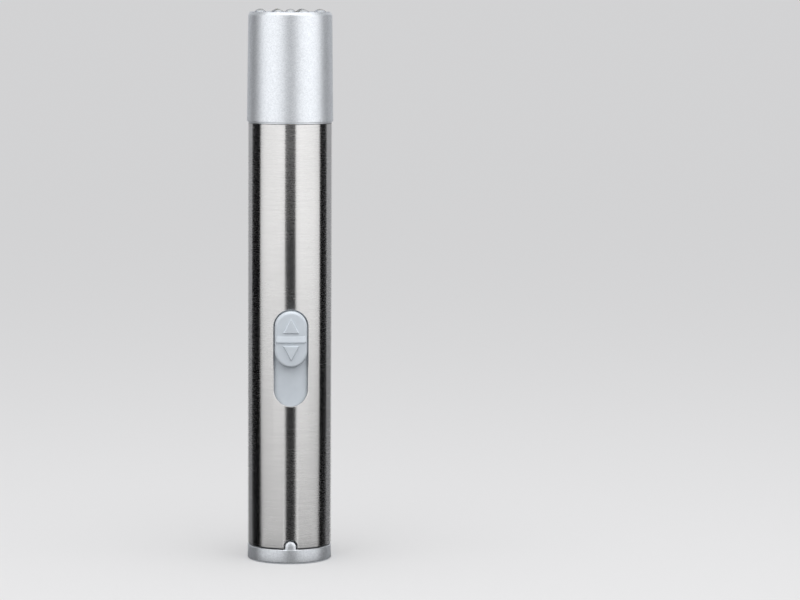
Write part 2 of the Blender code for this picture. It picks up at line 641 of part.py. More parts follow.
def make_head(paint):
    """The flared head: a thread bore below, a wider pocket for the light module above."""
    top = HEAD_TOP_EDGE
    foot = HEAD_FOOT_EDGE
    profile = [(THREAD_BORE, HEAD_FOOT), (HEAD_FOOT_RADIUS - foot, HEAD_FOOT),
               (HEAD_FOOT_RADIUS, HEAD_FOOT + foot)]
    profile += fillet((HEAD_TOP_RADIUS - top, HEAD_TOP - top), top, 0, 90)
    profile += [(FRONT_BORE, HEAD_TOP), (FRONT_BORE, POCKET_FLOOR), (THREAD_BORE, POCKET_FLOOR)]
    return turned("head_shell", profile, paint)


def make_ground_sleeve(brass):
    """A rolled brass ring with a turned-in foot, between the strip's tab and the board."""
    bore = GROUND_OUTER - GROUND_WALL
    profile = [(GROUND_OUTER - GROUND_FOOT_WIDTH, GROUND_FOOT), (GROUND_OUTER, GROUND_FOOT),
               (GROUND_OUTER, POCKET_FLOOR), (bore, POCKET_FLOOR),
               (bore, GROUND_FOOT + GROUND_WALL),
               (GROUND_OUTER - GROUND_FOOT_WIDTH, GROUND_FOOT + GROUND_WALL)]
    return turned("ground_sleeve", profile, brass, INNER_STEPS)


def led_places():
    """Each LED's x, y and turn: one on the axis, the rest evenly on a ring."""
    places = [(0.0, 0.0, 0.0)]
    for number in range(LED_COUNT_ON_RING):
        angle = 2 * pi * (number + 0.5) / LED_COUNT_ON_RING
        places.append((LED_RING_RADIUS * cos(angle), LED_RING_RADIUS * sin(angle), angle + pi / 2))
    return places


def make_leds(epoxy):
    """Round LEDs with a flange, a domed lens and two pins, one object each on one shared mesh."""
    shoulder = LED_FOOT + LED_FLANGE_HEIGHT
    profile = [(0, LED_FOOT), (LED_FLANGE_RADIUS, LED_FOOT), (LED_FLANGE_RADIUS, shoulder),
               (LED_BODY_RADIUS, shoulder)]
    profile += fillet((0, LED_TIP - LED_BODY_RADIUS), LED_BODY_RADIUS, 0, 90, 5)[:-1]
    profile += [(0, LED_TIP)]
    body = turned("led_body", profile, epoxy, LED_STEPS)
    half = LEAD_THICKNESS / 2
    for side, label in ((-1, "long"), (1, "short")):
        x = side * LEAD_SPACING / 2
        pin = box(f"{label}_pin", (x - half, -half, BOARD_BOTTOM - LEAD_TAIL),
                  (x + half, half, LED_FOOT + LED_FLANGE_HEIGHT / 2))
        change(body, pin, "UNION")
    bpy.context.view_layer.update()
    whole = body.evaluated_get(bpy.context.evaluated_depsgraph_get())
    shared = bpy.data.meshes.new_from_object(whole)
    shared.name = "led"
    for guide in list(body.children) + [body]:
        bpy.data.objects.remove(guide, do_unlink=True)
    for number, (x, y, turn) in enumerate(led_places(), start=1):
        led = bpy.data.objects.new(f"led_{number}", shared)
        led.location = (x, y, 0)
        led.rotation_euler = (0, 0, turn)
        bpy.context.scene.collection.objects.link(led)


def lead_places():
    """Where the board's holes go: two under each LED, set along the ring."""
    places = []
    for x, y, turn in led_places():
        for side in (-1, 1):
            reach = side * LEAD_SPACING / 2
            places.append((x + reach * cos(turn), y + reach * sin(turn)))
    return places


def upright_peg(name, x, y, radius, low, high, steps):
    """A small round post."""
    outline = [(x + radius * cos(2 * pi * s / steps), y + radius * sin(2 * pi * s / steps), low)
               for s in range(steps)]
    return extruded(name, outline, Vector((0, 0, high - low)))


def make_board(laminate):
    """The round LED board with a hole for each pin."""
    board = turned("led_board", [(0, BOARD_BOTTOM), (MODULE_RADIUS, BOARD_BOTTOM),
                                 (MODULE_RADIUS, BOARD_TOP), (0, BOARD_TOP)], laminate,
                   INNER_STEPS)
    holes = [upright_peg("hole", x, y, LEAD_HOLE_RADIUS, BOARD_BOTTOM - SEAT_GAP,
                         BOARD_TOP + SEAT_GAP, 8) for x, y in lead_places()]
    change(board, joined("pin_hole_cutter", holes), "DIFFERENCE")
    return board


def make_holder(silver):
    """The front plate, with a flared cup round each LED."""
    holder = turned("led_holder", [(0, HOLDER_BOTTOM), (MODULE_RADIUS, HOLDER_BOTTOM),
                                   (MODULE_RADIUS, HOLDER_TOP), (0, HOLDER_TOP)], silver)
    hole = LED_BODY_RADIUS + LED_HOLE_CLEARANCE
    cutters = []
    for x, y, _ in led_places():
        profile = [(0, HOLDER_BOTTOM - SEAT_GAP), (hole, HOLDER_BOTTOM - SEAT_GAP),
                   (hole, HOLDER_TOP - HOLDER_CUP_DEPTH),
                   (hole + HOLDER_CUP_FLARE, HOLDER_TOP),
                   (hole + HOLDER_CUP_FLARE, HOLDER_TOP + SEAT_GAP), (0, HOLDER_TOP + SEAT_GAP)]
        cutter = turned("cup", profile, None, LED_STEPS)
        cutter.data.transform(Matrix.Translation((x, y, 0)))
        cutters.append(cutter)
    change(holder, joined("led_hole_cutter", cutters), "DIFFERENCE")
    return holder


def make_resistor(ceramic):
    """The chip that limits the LEDs' current, under the board."""
    length, width, height = RESISTOR_SIZE
    top = BOARD_BOTTOM - SEAT_GAP / 2
    return box("current_resistor",
               (RESISTOR_DISTANCE - length / 2, -width / 2, top - height),
               (RESISTOR_DISTANCE + length / 2, width / 2, top), ceramic)


def build():
    """Make every piece, from the foot up."""
    clear_scene()
    paint = make_material("silver paint", (0.62, 0.65, 0.69), 0.38, 0.6)
    steel = make_material("brushed steel", (0.62, 0.61, 0.60), 0.28, 1.0)
    grey = make_material("grey plastic", (0.58, 0.61, 0.65), 0.5)
    black = make_material("black plastic", (0.03, 0.03, 0.03), 0.5)
    brass = make_material("brass", (0.75, 0.55, 0.25), 0.3, 1.0)
    wire = make_material("spring steel", (0.7, 0.7, 0.7), 0.25, 1.0)
    jacket = make_material("cell jacket", (0.15, 0.16, 0.18), 0.35)
    rubber = make_material("rubber", (0.02, 0.02, 0.02), 0.7)
    epoxy = make_material("clear epoxy", (0.95, 0.97, 1.0), 0.05, 0.0, 0.9)
    laminate = make_material("board laminate", (0.85, 0.87, 0.85), 0.4)
    ceramic = make_material("resistor body", (0.05, 0.05, 0.06), 0.4)
    make_tail_cap(paint)
    make_lower_strip(brass)
    coil("tail_spring", TAIL_SPRING_FOOT, TAIL_SPRING_HEIGHT, TAIL_SPRING_WIDE_RADIUS,
         TAIL_SPRING_NARROW_RADIUS, TAIL_SPRING_TURNS, wire)
    make_cells(jacket, wire)
    make_chassis(black)
    make_o_ring(rubber)
    make_sleeve(steel)
    make_switch_knob(grey)
    make_bridge(brass)
    make_upper_strip(brass)
    make_ground_sleeve(brass)
    coil("head_spring", HEAD_SPRING_FOOT, HEAD_SPRING_TOP - HEAD_SPRING_FOOT,
         HEAD_SPRING_NARROW_RADIUS, HEAD_SPRING_WIDE_RADIUS, HEAD_SPRING_TURNS, wire)
    make_board(laminate)
    make_resistor(ceramic)
    make_leds(epoxy)
    make_holder(paint)
    make_head(paint)
    print(f"height {LED_TIP / MM:.1f} mm, slider travel {SLIDER_TRAVEL / MM:.2f} mm, "
          f"bed half angle {degrees(BED_HALF_ANGLE):.1f} degrees")


build()
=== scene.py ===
# %% [markdown]
# # A slim LED flashlight
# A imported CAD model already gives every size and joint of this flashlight. This lesson
# dresses it: a finer piece takes the place of each one that would show facets, and every
# piece gets a finish built from nodes. Sizes are in metres, the flashlight stands on z = 0
# with its axis on Z, and its thumb slider faces -Y.

# %% Load the frame
from math import atan, cos, hypot, pi, radians, sin, sqrt

import bmesh
import bpy
from mathutils import Matrix, Vector


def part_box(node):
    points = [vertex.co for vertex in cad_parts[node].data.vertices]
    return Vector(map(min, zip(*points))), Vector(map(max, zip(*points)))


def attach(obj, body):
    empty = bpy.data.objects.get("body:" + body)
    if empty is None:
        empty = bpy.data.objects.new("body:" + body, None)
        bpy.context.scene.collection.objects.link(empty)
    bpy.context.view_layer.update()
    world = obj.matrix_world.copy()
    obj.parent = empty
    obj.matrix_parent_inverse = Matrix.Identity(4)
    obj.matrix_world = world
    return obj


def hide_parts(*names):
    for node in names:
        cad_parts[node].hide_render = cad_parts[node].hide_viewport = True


MM = 0.001
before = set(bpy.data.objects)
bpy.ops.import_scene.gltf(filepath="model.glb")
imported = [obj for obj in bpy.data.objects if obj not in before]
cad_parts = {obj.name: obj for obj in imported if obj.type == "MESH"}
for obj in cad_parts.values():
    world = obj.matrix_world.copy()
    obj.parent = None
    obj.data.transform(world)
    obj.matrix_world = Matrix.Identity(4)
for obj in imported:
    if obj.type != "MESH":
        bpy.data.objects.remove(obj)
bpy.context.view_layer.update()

# %% [markdown]
# ## Sizes
# The frame tells where each piece stands, so most sizes are measured from it and not
# written again. Walls and bores can't be read from a box, so they are named here as the
# CAD source names them.

# %% Measure the frame
SLEEVE_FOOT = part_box("steel_sleeve")[0].z
SLEEVE_RADIUS, SLEEVE_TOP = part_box("steel_sleeve")[1].x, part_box("steel_sleeve")[1].z
HEAD_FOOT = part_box("head_shell")[0].z
HEAD_FOOT_RADIUS, HEAD_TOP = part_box("head_shell")[1].x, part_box("head_shell")[1].z
SLEEVE_WALL = 0.5 * MM
HEAD_TAPER = 0.26 * MM            # how much narrower the head is at its top
THREAD_BORE = 7.9 * MM
CELL_BORE = 5.5 * MM
SLEEVE_BORE = SLEEVE_RADIUS - SLEEVE_WALL
HEAD_TOP_RADIUS = HEAD_FOOT_RADIUS - HEAD_TAPER
print(f"sleeve {2 * SLEEVE_RADIUS / MM:.1f} mm wide, {(SLEEVE_TOP - SLEEVE_FOOT) / MM:.1f} mm long")

# %% [markdown]
# ## Camera
# The photograph was taken from a long way off with a long lens, a little above the
# flashlight's top, so its sides stay nearly parallel. The lens here comes from how fast the
# tube narrows towards its foot, and the flashlight stands left of the middle of the frame.

# %% Place the camera
PHOTO_WIDTH = 800
FOCAL_PIXELS = 3236
SENSOR_WIDTH = 36.0
CAMERA_DISTANCE = 692.1 * MM
CAMERA_HEIGHT = 126.7 * MM
CAMERA_ROUND = radians(-1.8)      # it stands a little to the slider's left
LOOK_DOWN = radians(5.832)
AXIS_PIXELS_LEFT = 110.8          # how far left of the picture's middle the axis stands
LOOK_RIGHT = atan(AXIS_PIXELS_LEFT / FOCAL_PIXELS)
ROLL = radians(0.308)


def toward(azimuth):
    """The level direction at an angle from -Y, turning towards +X."""
    return Vector((sin(azimuth), -cos(azimuth), 0))


camera_data = bpy.data.cameras.new("photo_camera")
camera_data.sensor_width = SENSOR_WIDTH
camera_data.sensor_fit = "HORIZONTAL"
camera_data.lens = SENSOR_WIDTH * FOCAL_PIXELS / PHOTO_WIDTH
camera = bpy.data.objects.new("photo_camera", camera_data)
bpy.context.scene.collection.objects.link(camera)
turn = (Matrix.Rotation(CAMERA_ROUND - LOOK_RIGHT, 4, "Z")
        @ Matrix.Rotation(pi / 2 - LOOK_DOWN, 4, "X") @ Matrix.Rotation(ROLL, 4, "Z"))
camera.matrix_world = Matrix.Translation(
    CAMERA_DISTANCE * toward(CAMERA_ROUND) + Vector((0, 0, CAMERA_HEIGHT))) @ turn
bpy.context.scene.camera = camera
print(f"camera lens {camera_data.lens:.1f} mm, {CAMERA_DISTANCE:.3f} m away")

# %% [markdown]
# ## Studio
# A bright metal tube shows little but its surroundings. The photographer stood two tall
# soft lights either side, with a dark gap between them at the camera and dark cards at the
# far sides, and those make the long bands on the tube. The same studio is built here over a
# plain pale floor. The soft lights leave the floor out, so it looks even from every side.
# The cards work on reflections alone, so they throw no shadow. The photographer's table was
# black, which kept light from below off the flashlight. Two rings on the floor do that
# here, and let the floor itself stay pale.

# %% Floor and world
FLOOR_SIZE = 30.0
FLOOR_COLOUR = (0.83, 0.83, 0.83)
WORLD_COLOUR = (0.78, 0.78, 0.79)


def flat_material(name, colour):
    """A plain matt finish for things of the stage."""
    material = bpy.data.materials.new(name)
    material.use_nodes = True
    shader = material.node_tree.nodes["Principled BSDF"]
    shader.inputs["Base Color"].default_value = (*colour, 1)
    shader.inputs["Roughness"].default_value = 1.0
    shader.inputs["Specular IOR Level"].default_value = 0.0
    return material


def flat_panel(name, corners, material, faces=None):
    """A flat sheet of the stage between corner points, in one face unless faces are given."""
    mesh = bpy.data.meshes.new(name)
    mesh.from_pydata(corners, [], faces or [range(len(corners))])
    mesh.materials.append(material)
    panel = bpy.data.objects.new(name, mesh)
    bpy.context.scene.collection.objects.link(panel)
    return panel


half = FLOOR_SIZE / 2
floor = flat_panel("floor", [(-half, -half, 0), (half, -half, 0), (half, half, 0),
                             (-half, half, 0)], flat_material("pale_floor", FLOOR_COLOUR))
unlit_by_softboxes = bpy.data.collections.new("unlit_by_softboxes")
unlit_by_softboxes.objects.link(floor)
unlit_by_softboxes.collection_objects[0].light_linking.link_state = "EXCLUDE"
world = bpy.data.worlds.new("studio")
world.use_nodes = True
world.node_tree.nodes["Background"].inputs["Color"].default_value = (*WORLD_COLOUR, 1)
bpy.context.scene.world = world
bpy.context.scene.view_settings.view_transform = "Standard"

# %% Soft lights
SOFTBOX_DISTANCE = 0.45
SOFTBOX_HEIGHT = 0.75
LIGHTS = {
    # name: first and last azimuth in degrees from the camera, brightness
    "left_softbox": (-88.5, -14, 0.535),
    "left_softbox_middle": (-78, -24, 0.1),
    "left_feather": (-14, -7, 0.26),
    "right_softbox": (16.5, 89, 0.66),
    "right_softbox_middle": (28, 72, 0.08),
}


def softbox(name, first, last, brightness):
    """An upright area light that fills a range of azimuths seen from the flashlight."""
    middle = CAMERA_ROUND + radians(first + last) / 2
    half_angle = radians(last - first) / 2
    width = 2 * SOFTBOX_DISTANCE * sin(half_angle) / cos(half_angle)
    light = bpy.data.lights.new(name, "AREA")
    light.shape = "RECTANGLE"
    light.size = width
    light.size_y = SOFTBOX_HEIGHT
    light.energy = brightness * pi * width * SOFTBOX_HEIGHT
    item = bpy.data.objects.new(name, light)
    item.location = SOFTBOX_DISTANCE * toward(middle) + Vector((0, 0, SOFTBOX_HEIGHT / 2))
    item.rotation_euler = (pi / 2, 0, middle)
    item.visible_camera = False
    item.light_linking.receiver_collection = unlit_by_softboxes
    bpy.context.scene.collection.objects.link(item)
    print(f"{name}: {width:.2f} m wide")


for label, (first, last, brightness) in LIGHTS.items():
    softbox(label, first, last, brightness)

# %% Top light
TOP_SIZE, TOP_HEIGHT, TOP_FORWARD, TOP_BRIGHTNESS = 0.5, 0.62, 0.25, 1.6
top_light = bpy.data.lights.new("top_softbox", "AREA")
top_light.size = TOP_SIZE
top_light.energy = TOP_BRIGHTNESS * pi * TOP_SIZE ** 2
top_softbox = bpy.data.objects.new("top_softbox", top_light)
top_softbox.location = (0, -TOP_FORWARD, TOP_HEIGHT)
top_softbox.rotation_euler = (-atan(TOP_FORWARD / TOP_HEIGHT), 0, 0)
top_softbox.visible_camera = False
bpy.context.scene.collection.objects.link(top_softbox)

# %% Dark cards
CARD_BLACK = (0.012, 0.012, 0.013)
CARD_GREY = (0.70, 0.71, 0.73)
CARD_DISTANCE = 0.42
CARD_HEIGHT = 1.1
CARD_START = 0.0005               # where a card that lies on the floor begins
CARD_LIFT = 0.05 * MM
FLOOR_SHARE = 0.35                # a card that lies flat gets more light, so it is darker
CARDS = {
    # name: first and last azimuth in degrees from the camera, of the upright part and of the
    # part on the floor, then height and colour
    "front": ((-14, 15.5), (-10.2, 20), 0.6, CARD_BLACK),
    "left": ((-127, -89.5), (-129, -87), CARD_HEIGHT, CARD_BLACK),
    "right": ((91, 121), (91, 125), CARD_HEIGHT, CARD_BLACK),
    "left_rear": ((-158, -127), (-158, -129), CARD_HEIGHT, CARD_GREY),
    "right_rear": ((121, 158), (125, 158), CARD_HEIGHT, CARD_GREY),
}


def reflection_only(item):
    """Shown in shiny surfaces, and nowhere else."""
    item.visible_camera = False
    item.visible_diffuse = False
    item.visible_shadow = False


def ray_of_reflection(angle, distance):
    """Where the tube's reflection at an angle lands: it leaves at half that angle."""
    start = (SLEEVE_RADIUS + CARD_START) * toward(CAMERA_ROUND + angle / 2)
    return start + distance * toward(CAMERA_ROUND + angle)


for label, (upright_ends, lying_ends, height, colour) in CARDS.items():
    upright = flat_material(f"{label}_card", colour)
    lying = flat_material(f"{label}_floor_card", [FLOOR_SHARE * level for level in colour])
    lift = Vector((0, 0, CARD_LIFT))
    up = Vector((0, 0, height))
    foot = [ray_of_reflection(radians(end), CARD_DISTANCE) + lift for end in upright_ends]
    near = [ray_of_reflection(radians(end), 0.0) + lift for end in lying_ends]
    far = [ray_of_reflection(radians(end), CARD_DISTANCE) + lift for end in lying_ends]
    reflection_only(flat_panel(f"{label}_card", [*foot, foot[1] + up, foot[0] + up], upright))
    reflection_only(flat_panel(f"{label}_floor_card", [*near, far[1], far[0]], lying))

# %% Black table
TABLE_SIDES = 48
NEAR_TABLE = 13.5 * MM            # beyond it, shiny surfaces show the pale floor
TABLE_RINGS = {
    # name: inner radius, outer radius, shown in shiny surfaces too
    "near_table": (SLEEVE_RADIUS + 0.05 * MM, NEAR_TABLE, True),
    "far_table": (NEAR_TABLE, 0.6, False),
}


def table_ring(name, inner, outer, in_gloss):
    """A black ring on the floor that only what stands above it sees."""
    material = flat_material(name, CARD_BLACK)
    tree = material.node_tree
    mix = tree.nodes.new("ShaderNodeMixShader")
    underside = tree.nodes.new("ShaderNodeNewGeometry").outputs["Backfacing"]
    tree.links.new(underside, mix.inputs["Fac"])
    tree.links.new(tree.nodes["Principled BSDF"].outputs["BSDF"], mix.inputs[1])
    tree.links.new(tree.nodes.new("ShaderNodeBsdfTransparent").outputs["BSDF"], mix.inputs[2])
    tree.links.new(mix.outputs["Shader"], tree.nodes["Material Output"].inputs["Surface"])
    corners = [radius * toward(2 * pi * side / TABLE_SIDES) + Vector((0, 0, CARD_LIFT))
               for side in range(TABLE_SIDES) for radius in (inner, outer)]
    faces = [[(2 * side + step) % len(corners) for step in (0, 1, 3, 2)]
             for side in range(TABLE_SIDES)]
    item = flat_panel(name, corners, material, faces)
    item.visible_camera = False
    item.visible_shadow = False
    item.visible_glossy = in_gloss


for label, (inner, outer, in_gloss) in TABLE_RINGS.items():
    table_ring(label, inner, outer, in_gloss)

# %% [markdown]
# ## Finishes
# Each finish starts from the Principled shader. Noise on Object coordinates gives it what a
# flat colour lacks: grain, flake, orange peel, small changes of gloss. Object coordinates
# are metres on the piece, so one scale suits every part that shares the finish.

# %% Helpers for finishes
MIX_A, MIX_B, MIX_RESULT = 6, 7, 2      # a Mix node's own sockets for colours


def start_finish(name, colour, roughness, metallic=0.0, **constants):
    """A Principled material with its constant values set on the shader's own sockets."""
    material = bpy.data.materials.new(name)
    material.use_nodes = True
    shader = material.node_tree.nodes["Principled BSDF"]
    shader.inputs["Base Color"].default_value = (*colour, 1)
    shader.inputs["Roughness"].default_value = roughness
    shader.inputs["Metallic"].default_value = metallic
    for label, value in constants.items():
        shader.inputs[label.replace("_", " ")].default_value = value
    return material, material.node_tree, shader


def add_node(tree, kind, inputs=None, **settings):
    """One node: settings are its properties, inputs are values or links by socket."""
    item = tree.nodes.new(kind)
    for label, value in settings.items():
        setattr(item, label, value)
    for label, value in (inputs or {}).items():
        if isinstance(value, bpy.types.NodeSocket):
            tree.links.new(value, item.inputs[label])
        else:
            item.inputs[label].default_value = value
    return item


def stretched(tree, per_metre):
    """Object coordinates times a scale for each axis."""
    place = add_node(tree, "ShaderNodeTexCoord")
    return add_node(tree, "ShaderNodeMapping",
                    {"Vector": place.outputs["Object"], "Scale": per_metre}).outputs["Vector"]


def noise(tree, per_metre, detail=2.0, roughness=0.5):
    """Soft noise whose features are one over the scale in size."""
    scales = per_metre if isinstance(per_metre, tuple) else (per_metre,) * 3
    return add_node(tree, "ShaderNodeTexNoise",
                    {"Vector": stretched(tree, scales), "Scale": 1.0, "Detail": detail,
                     "Roughness": roughness}).outputs["Fac"]


def spread(tree, factor, low, high, start=0.3, end=0.7):
    """Turn a factor between start and end into a number between low and high."""
    return add_node(tree, "ShaderNodeMapRange",
                    {"Value": factor, "From Min": start, "From Max": end,
                     "To Min": low, "To Max": high}).outputs["Result"]


def tint(tree, factor, first, second):
    """A colour that goes from the first to the second with the factor."""
    mix = add_node(tree, "ShaderNodeMix", {"Factor": factor}, data_type="RGBA")
    mix.inputs[MIX_A].default_value = (*first, 1)
    mix.inputs[MIX_B].default_value = (*second, 1)
    return mix.outputs[MIX_RESULT]


def raise_surface(tree, shader, height, depth):
    """Bump of a real depth in metres."""
    bump = add_node(tree, "ShaderNodeBump",
                    {"Height": height, "Distance": depth, "Strength": 1.0})
    tree.links.new(bump.outputs["Normal"], shader.inputs["Normal"])


# %% [markdown]
# ### Brushed steel
# The tube was turned against an abrasive belt, so its scratches run round it. They spread
# a reflection up and down and keep it sharp from side to side. An anisotropic highlight
# along Z does that, and noise that is fine along Z and long round the tube draws the
# scratches themselves. The noise is read in 3-D, so it has no seam.

# %% Brushed steel
GRAIN_ROUND = 170                 # features per metre round the tube
GRAIN_ALONG = 5200                # and along it
SCRATCH_DEPTH = 0.00012 * MM
DARK_STEEL, LIGHT_STEEL = (0.555, 0.55, 0.545), (0.63, 0.625, 0.617)
steel, tree, shader = start_finish("brushed_steel", LIGHT_STEEL, 0.26, 1.0,
                                   Anisotropic=1.0, Anisotropic_Rotation=0.25)
round_axis = add_node(tree, "ShaderNodeTangent", direction_type="RADIAL", axis="Z")
tree.links.new(round_axis.outputs["Tangent"], shader.inputs["Tangent"])
scratches = noise(tree, (GRAIN_ROUND, GRAIN_ROUND, GRAIN_ALONG), 5.0, 0.62)
smudges = noise(tree, (95, 95, 40), 2.0)
tree.links.new(tint(tree, spread(tree, scratches, 0, 1), DARK_STEEL, LIGHT_STEEL),
               shader.inputs["Base Color"])
both = add_node(tree, "ShaderNodeMath", {0: scratches, 1: smudges}, operation="ADD")
tree.links.new(spread(tree, both.outputs[0], 0.24, 0.29, 0.7, 1.3), shader.inputs["Roughness"])
raise_surface(tree, shader, scratches, SCRATCH_DEPTH)

# %% [markdown]
# ### Silver paint
# The head and the foot ring are moulded and painted with a silver that has metal flake in
# it, under a thin clear coat. Each Voronoi cell is one flake: its random colour makes it
# lighter or darker, and as a bump it tips the flake a little.

# %% Silver paint
FLAKES = 6200                     # per metre
DARK_FLAKE, LIGHT_FLAKE = (0.70, 0.73, 0.765), (0.88, 0.91, 0.945)
paint, tree, shader = start_finish("silver_paint", LIGHT_FLAKE, 0.45, 0.82,
                                   Coat_Weight=0.25, Coat_Roughness=0.18)
flakes = add_node(tree, "ShaderNodeTexVoronoi",
                  {"Vector": stretched(tree, (FLAKES,) * 3), "Scale": 1.0})
shade = add_node(tree, "ShaderNodeSeparateColor", {"Color": flakes.outputs["Color"]})
tree.links.new(tint(tree, shade.outputs["Red"], DARK_FLAKE, LIGHT_FLAKE),
               shader.inputs["Base Color"])
tree.links.new(spread(tree, shade.outputs["Green"], 0.4, 0.5, 0, 1), shader.inputs["Roughness"])
peel = noise(tree, 900, 1.0)
layers = add_node(tree, "ShaderNodeMath", {0: shade.outputs["Blue"], 1: peel}, operation="ADD")
raise_surface(tree, shader, layers.outputs[0], 0.002 * MM)

# %% [markdown]
# ### Plastics, rubber and laminate
# These share one recipe: a colour that wanders a little, a gloss that changes with the
# same noise, and a fine bump for the surface of the mould.

# %% Moulded finishes
CLOUD_SHARE = 12                  # the slow noise is this many times coarser than the bump


def moulded(name, dark, light, gloss, per_metre, depth):
    """A moulded surface: two near colours, two roughness values, one fine bump."""
    material, tree, shader = start_finish(name, light, gloss[0])
    cloud = noise(tree, per_metre / CLOUD_SHARE)
    tree.links.new(tint(tree, spread(tree, cloud, 0, 1), dark, light), shader.inputs["Base Color"])
    tree.links.new(spread(tree, cloud, *gloss), shader.inputs["Roughness"])
    raise_surface(tree, shader, noise(tree, per_metre, 3.0), depth)
    return material


grey_plastic = moulded("grey_plastic", (0.66, 0.715, 0.77), (0.70, 0.755, 0.81),
                       (0.42, 0.5), 5200, 0.006 * MM)
black_plastic = moulded("black_plastic", (0.016, 0.016, 0.017), (0.03, 0.03, 0.031),
                        (0.4, 0.55), 3600, 0.01 * MM)
rubber = moulded("rubber", (0.012, 0.012, 0.012), (0.02, 0.02, 0.02),
                 (0.6, 0.8), 5000, 0.01 * MM)
jacket = moulded("cell_jacket", (0.08, 0.10, 0.13), (0.10, 0.125, 0.16),
                 (0.25, 0.35), 1500, 0.004 * MM)
laminate = moulded("laminate", (0.78, 0.80, 0.78), (0.86, 0.88, 0.86),
                   (0.3, 0.42), 4200, 0.005 * MM)
ceramic = moulded("ceramic_chip", (0.03, 0.03, 0.034), (0.06, 0.06, 0.066),
                  (0.35, 0.5), 6000, 0.004 * MM)
phosphor = moulded("phosphor", (0.80, 0.66, 0.16), (0.86, 0.74, 0.24),
                   (0.6, 0.75), 9000, 0.01 * MM)

# %% Metals and clear epoxy
DRAWN_DEPTH = 0.002 * MM


def drawn_metal(name, dark, light, gloss, per_metre):
    """Rolled or drawn metal: fine lines and slow patches of tarnish."""
    material, tree, shader = start_finish(name, light, gloss[0], 1.0)
    lines = noise(tree, per_metre, 3.0)
    patches = noise(tree, 300, 3.0)
    tree.links.new(tint(tree, spread(tree, patches, 0, 1), dark, light),
                   shader.inputs["Base Color"])
    tree.links.new(spread(tree, patches, gloss[1], gloss[0]), shader.inputs["Roughness"])
    raise_surface(tree, shader, lines, DRAWN_DEPTH)
    return material


brass = drawn_metal("brass", (0.50, 0.34, 0.13), (0.72, 0.52, 0.23), (0.22, 0.4),
                    (4000, 4000, 400))
spring_steel = drawn_metal("spring_steel", (0.5, 0.5, 0.49), (0.66, 0.66, 0.65), (0.18, 0.32),
                           2500)
epoxy, tree, shader = start_finish("clear_epoxy", (0.96, 0.975, 1.0), 0.03,
                                   Transmission_Weight=1.0, IOR=1.53)
tree.links.new(spread(tree, noise(tree, 1200, 2.0), 0.01, 0.07), shader.inputs["Roughness"])
raise_surface(tree, shader, noise(tree, 700, 1.0), DRAWN_DEPTH)
print("finishes:", ", ".join(sorted(material.name for material in bpy.data.materials)))

# %% [markdown]
# ## Helpers for pieces
# A lathe shape is a profile spun round Z. A finished piece is linked, rides on a body of
# the frame, and may stand for CAD nodes, which are then hidden.

# %% Finish a piece
SHARP = radians(24)               # edges bent by more than this stay sharp
SHARP_ON_CURVES = radians(60)     # the same for swept wires and ridges
MERGE = 0.0001 * MM


def add_piece(name, mesh, body, replaces=(), sharp=SHARP):
    """Link a finished mesh as a piece that rides on a body."""
    mesh.shade_smooth()
    mesh.set_sharp_from_angle(angle=sharp)
    item = bpy.data.objects.new(name, mesh)
    bpy.context.scene.collection.objects.link(item)
    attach(item, body)
    if replaces:
        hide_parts(*replaces)
    print(f"{name}: {len(mesh.polygons)} faces on {body}")
    return item


def to_mesh(name, body, material):
    """Close, turn outward and keep a bmesh as a mesh with one material."""
    bmesh.ops.remove_doubles(body, verts=body.verts, dist=MERGE)
    bmesh.ops.recalc_face_normals(body, faces=body.faces)
    mesh = bpy.data.meshes.new(name)
    body.to_mesh(mesh)
    body.free()
    mesh.materials.append(material)
    return mesh


# %% Lathe and booleans
ROUND_STEPS = 256


def arc(centre, radius, start, end, steps=8):
    """Points of an arc in the profile plane, angles in degrees."""
    angles = [radians(start + (end - start) * step / steps) for step in range(steps + 1)]
    return [(centre[0] + radius * cos(a), centre[1] + radius * sin(a)) for a in angles]


def lathe(name, profile, material, steps=ROUND_STEPS):
    """Spin a closed profile of (radius, height) points round Z."""
    body = bmesh.new()
    corners = [body.verts.new((radius, 0, height)) for radius, height in profile]
    edges = [body.edges.new(pair) for pair in zip(corners, corners[1:])]
    if profile[0][0] > 0:
        edges.append(body.edges.new((corners[-1], corners[0])))
    bmesh.ops.spin(body, geom=corners + edges, cent=(0, 0, 0), axis=(0, 0, 1),
                   angle=2 * pi, steps=steps)
    return to_mesh(name, body, material)


def combined(name, mesh, tools, material):
    """Apply exact booleans: tools are (operation, mesh) pairs."""
    base = bpy.data.objects.new(name, mesh)
    helpers = [bpy.data.objects.new("tool", tool) for _, tool in tools]
    for item in [base] + helpers:
        bpy.context.scene.collection.objects.link(item)
    for (operation, _), helper in zip(tools, helpers):
        modifier = base.modifiers.new(operation, "BOOLEAN")
        modifier.operation = operation
        modifier.solver = "EXACT"
        modifier.object = helper
    graph = bpy.context.evaluated_depsgraph_get()
    result = bpy.data.meshes.new_from_object(base.evaluated_get(graph))
    for item in [base] + helpers:
        bpy.data.objects.remove(item, do_unlink=True)
    result.name = name
    result.materials.clear()
    result.materials.append(material)
    for face in result.polygons:
        face.material_index = 0
    return result


# %% Rings laid on a cylinder
def on_cylinder(x, z, radius):
    """A point in front of the axis, on a cylinder round it."""
    return (x, -sqrt(radius ** 2 - x ** 2), z)


def ring_stack(rings):
    """A closed body from rings of equal length, with a fan over each end."""
    body = bmesh.new()
    loops = [[body.verts.new(point) for point in ring] for ring in rings]
    count = len(loops[0])
    for below, above in zip(loops, loops[1:]):
        for here in range(count):
            after = (here + 1) % count
            body.faces.new((below[here], below[after], above[after], above[here]))
    for loop in (loops[0], loops[-1]):
        centre = body.verts.new(sum((vertex.co for vertex in loop), Vector()) / count)
        for here in range(count):
            body.faces.new((loop[here], loop[(here + 1) % count], centre))
    return body


